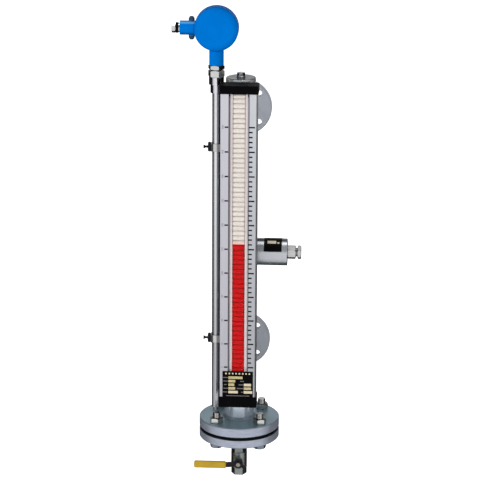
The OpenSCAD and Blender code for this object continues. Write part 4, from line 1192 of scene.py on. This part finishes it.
def floor_material():
    """Matt white floor, lifted to white for the camera and even in reflections."""
    material, n = new_material("floor_white")
    matt = n.add("BsdfDiffuse", {"Color": grey(0.9)}).outputs[0]
    glow = n.add("Emission", {"Color": WHITE, "Strength": 0.8}).outputs[0]
    lifted = n.add("AddShader", {0: matt, 1: glow}).outputs[0]
    even = n.add("Emission", {"Color": WHITE, "Strength": 0.95}).outputs[0]
    path = n.add("LightPath").outputs
    shown = n.math("MAXIMUM", path["Is Glossy Ray"], path["Is Transmission Ray"])
    mixed = n.add("MixShader", {0: path["Is Camera Ray"], 1: matt, 2: lifted}).outputs[0]
    n.end(n.add("MixShader", {0: shown, 1: mixed, 2: even}).outputs[0])
    return material


def card_material(name, level):
    material, n = new_material(name)
    n.end(n.add("Emission", {"Color": grey(level), "Strength": 1.0}).outputs[0])
    return material


def stage():
    floor = lying(FLOOR_HALF, -FLOOR_HALF, FLOOR_HALF, FLOOR_Z)
    stage_plane("floor", floor, floor_material())
    shades = {name: card_material("card_" + name, level) for name, level in CARD_LEVELS.items()}
    cards = []
    for i, (side, start, end, level) in enumerate(WALLS):
        a, b = (
            (side * CARD_R * math.sin(turn), AXIS_Y * MM - CARD_R * math.cos(turn))
            for turn in (math.radians(start), math.radians(end))
        )
        corners = standing(a, b, FLOOR_Z, CARD_TOP)
        cards.append(stage_plane("card_wall_%d" % i, corners, shades[level]))
    for name, start, end, z, half, level in LYING_CARDS:
        cards.append(stage_plane(name, lying(half, start, end, z), shades[level]))
    left, right = ((x, FRONT_Y) for x in (-FRONT_HALF, FRONT_HALF))
    corners = standing(left, right, FRONT_LOW, CARD_TOP)
    cards.append(stage_plane("card_front", corners, shades["grey"]))
    for plane in cards:
        plane.visible_camera = False
        plane.visible_shadow = False
        plane.visible_diffuse = False
        plane.visible_transmission = False


def world():
    """White where it is seen or reflected, and a dimmer, cooler light on the part."""
    made = bpy.data.worlds.new("studio")
    bpy.context.scene.world = made
    made.use_nodes = True
    n = Nodes(made.node_tree)
    path = n.add("LightPath").outputs
    seen = n.math("MAXIMUM", path["Is Camera Ray"], path["Is Glossy Ray"])
    seen = n.math("MAXIMUM", seen, path["Is Transmission Ray"])
    white = n.add("Background", {"Color": WHITE, "Strength": 1.0}).outputs[0]
    light = n.add("Background", {"Color": (0.95, 0.97, 1, 1), "Strength": 0.58}).outputs[0]
    n.end(n.add("MixShader", {0: seen, 1: light, 2: white}).outputs[0], "OutputWorld")


# Camera, fitted to the photograph: angles in degrees, lens and sensor in millimetres
CAMERA_AZIMUTH, CAMERA_ELEVATION, CAMERA_ROLL = 3.186, 16.568, 0.301
CAMERA_TARGET = (-0.000437, -0.125, 0.250107)
CAMERA_DISTANCE = 4.26645
CAMERA_LENS, CAMERA_SENSOR = 158.03, 36
CAMERA_CLIP_END = 100


def camera():
    azimuth, elevation, roll = (
        math.radians(v) for v in (CAMERA_AZIMUTH, CAMERA_ELEVATION, CAMERA_ROLL)
    )
    level = math.cos(elevation)
    back = Vector((math.sin(azimuth) * level, -math.cos(azimuth) * level, math.sin(elevation)))
    right = Vector((math.cos(azimuth), math.sin(azimuth), 0))
    up = back.cross(right)
    turned_right = right * math.cos(roll) + up * math.sin(roll)
    turned_up = up * math.cos(roll) - right * math.sin(roll)
    data = bpy.data.cameras.new("camera")
    data.sensor_width = CAMERA_SENSOR
    data.lens = CAMERA_LENS
    data.clip_end = CAMERA_CLIP_END
    seen = bpy.data.objects.new("camera", data)
    matrix = Matrix((turned_right, turned_up, back)).transposed().to_4x4()
    spot = Vector(CAMERA_TARGET) + back * CAMERA_DISTANCE
    seen.matrix_world = Matrix.Translation(spot) @ matrix
    bpy.context.scene.collection.objects.link(seen)
    bpy.context.scene.camera = seen


# Each lamp's place, target, size and power
LAMPS = {
    "key": ((-1.7, -3.1, 1.6), (0, -0.12, 0.25), (2.0, 1.6), 47),
    "fill": ((2.2, -2.6, 1.0), (0, -0.12, 0.25), (1.2, 2.0), 9),
    "back": ((0.6, 3.2, 1.9), (0, -0.12, 0.25), (2.0, 1.6), 10),
    "top": ((0.1, 0.1, 2.6), (0, -0.12, 0.3), (1.2, 1.0), 12),
}
GLOSS_LAMP = "top"


def lamps():
    """Soft lamps that light matt surfaces, and one that only shows as a gloss."""
    for name, (spot, target, size, power) in LAMPS.items():
        data = bpy.data.lights.new(name, "AREA")
        data.shape = "RECTANGLE"
        data.size, data.size_y = size
        data.energy = power
        lit = bpy.data.objects.new(name, data)
        aim = (Vector(target) - Vector(spot)).to_track_quat("-Z", "Y")
        lit.matrix_world = Matrix.Translation(spot) @ aim.to_matrix().to_4x4()
        lit.visible_glossy = name == GLOSS_LAMP
        lit.visible_diffuse = name != GLOSS_LAMP
        bpy.context.scene.collection.objects.link(lit)


stage()
world()
camera()
lamps()
bpy.context.scene.view_settings.view_transform = "Standard"
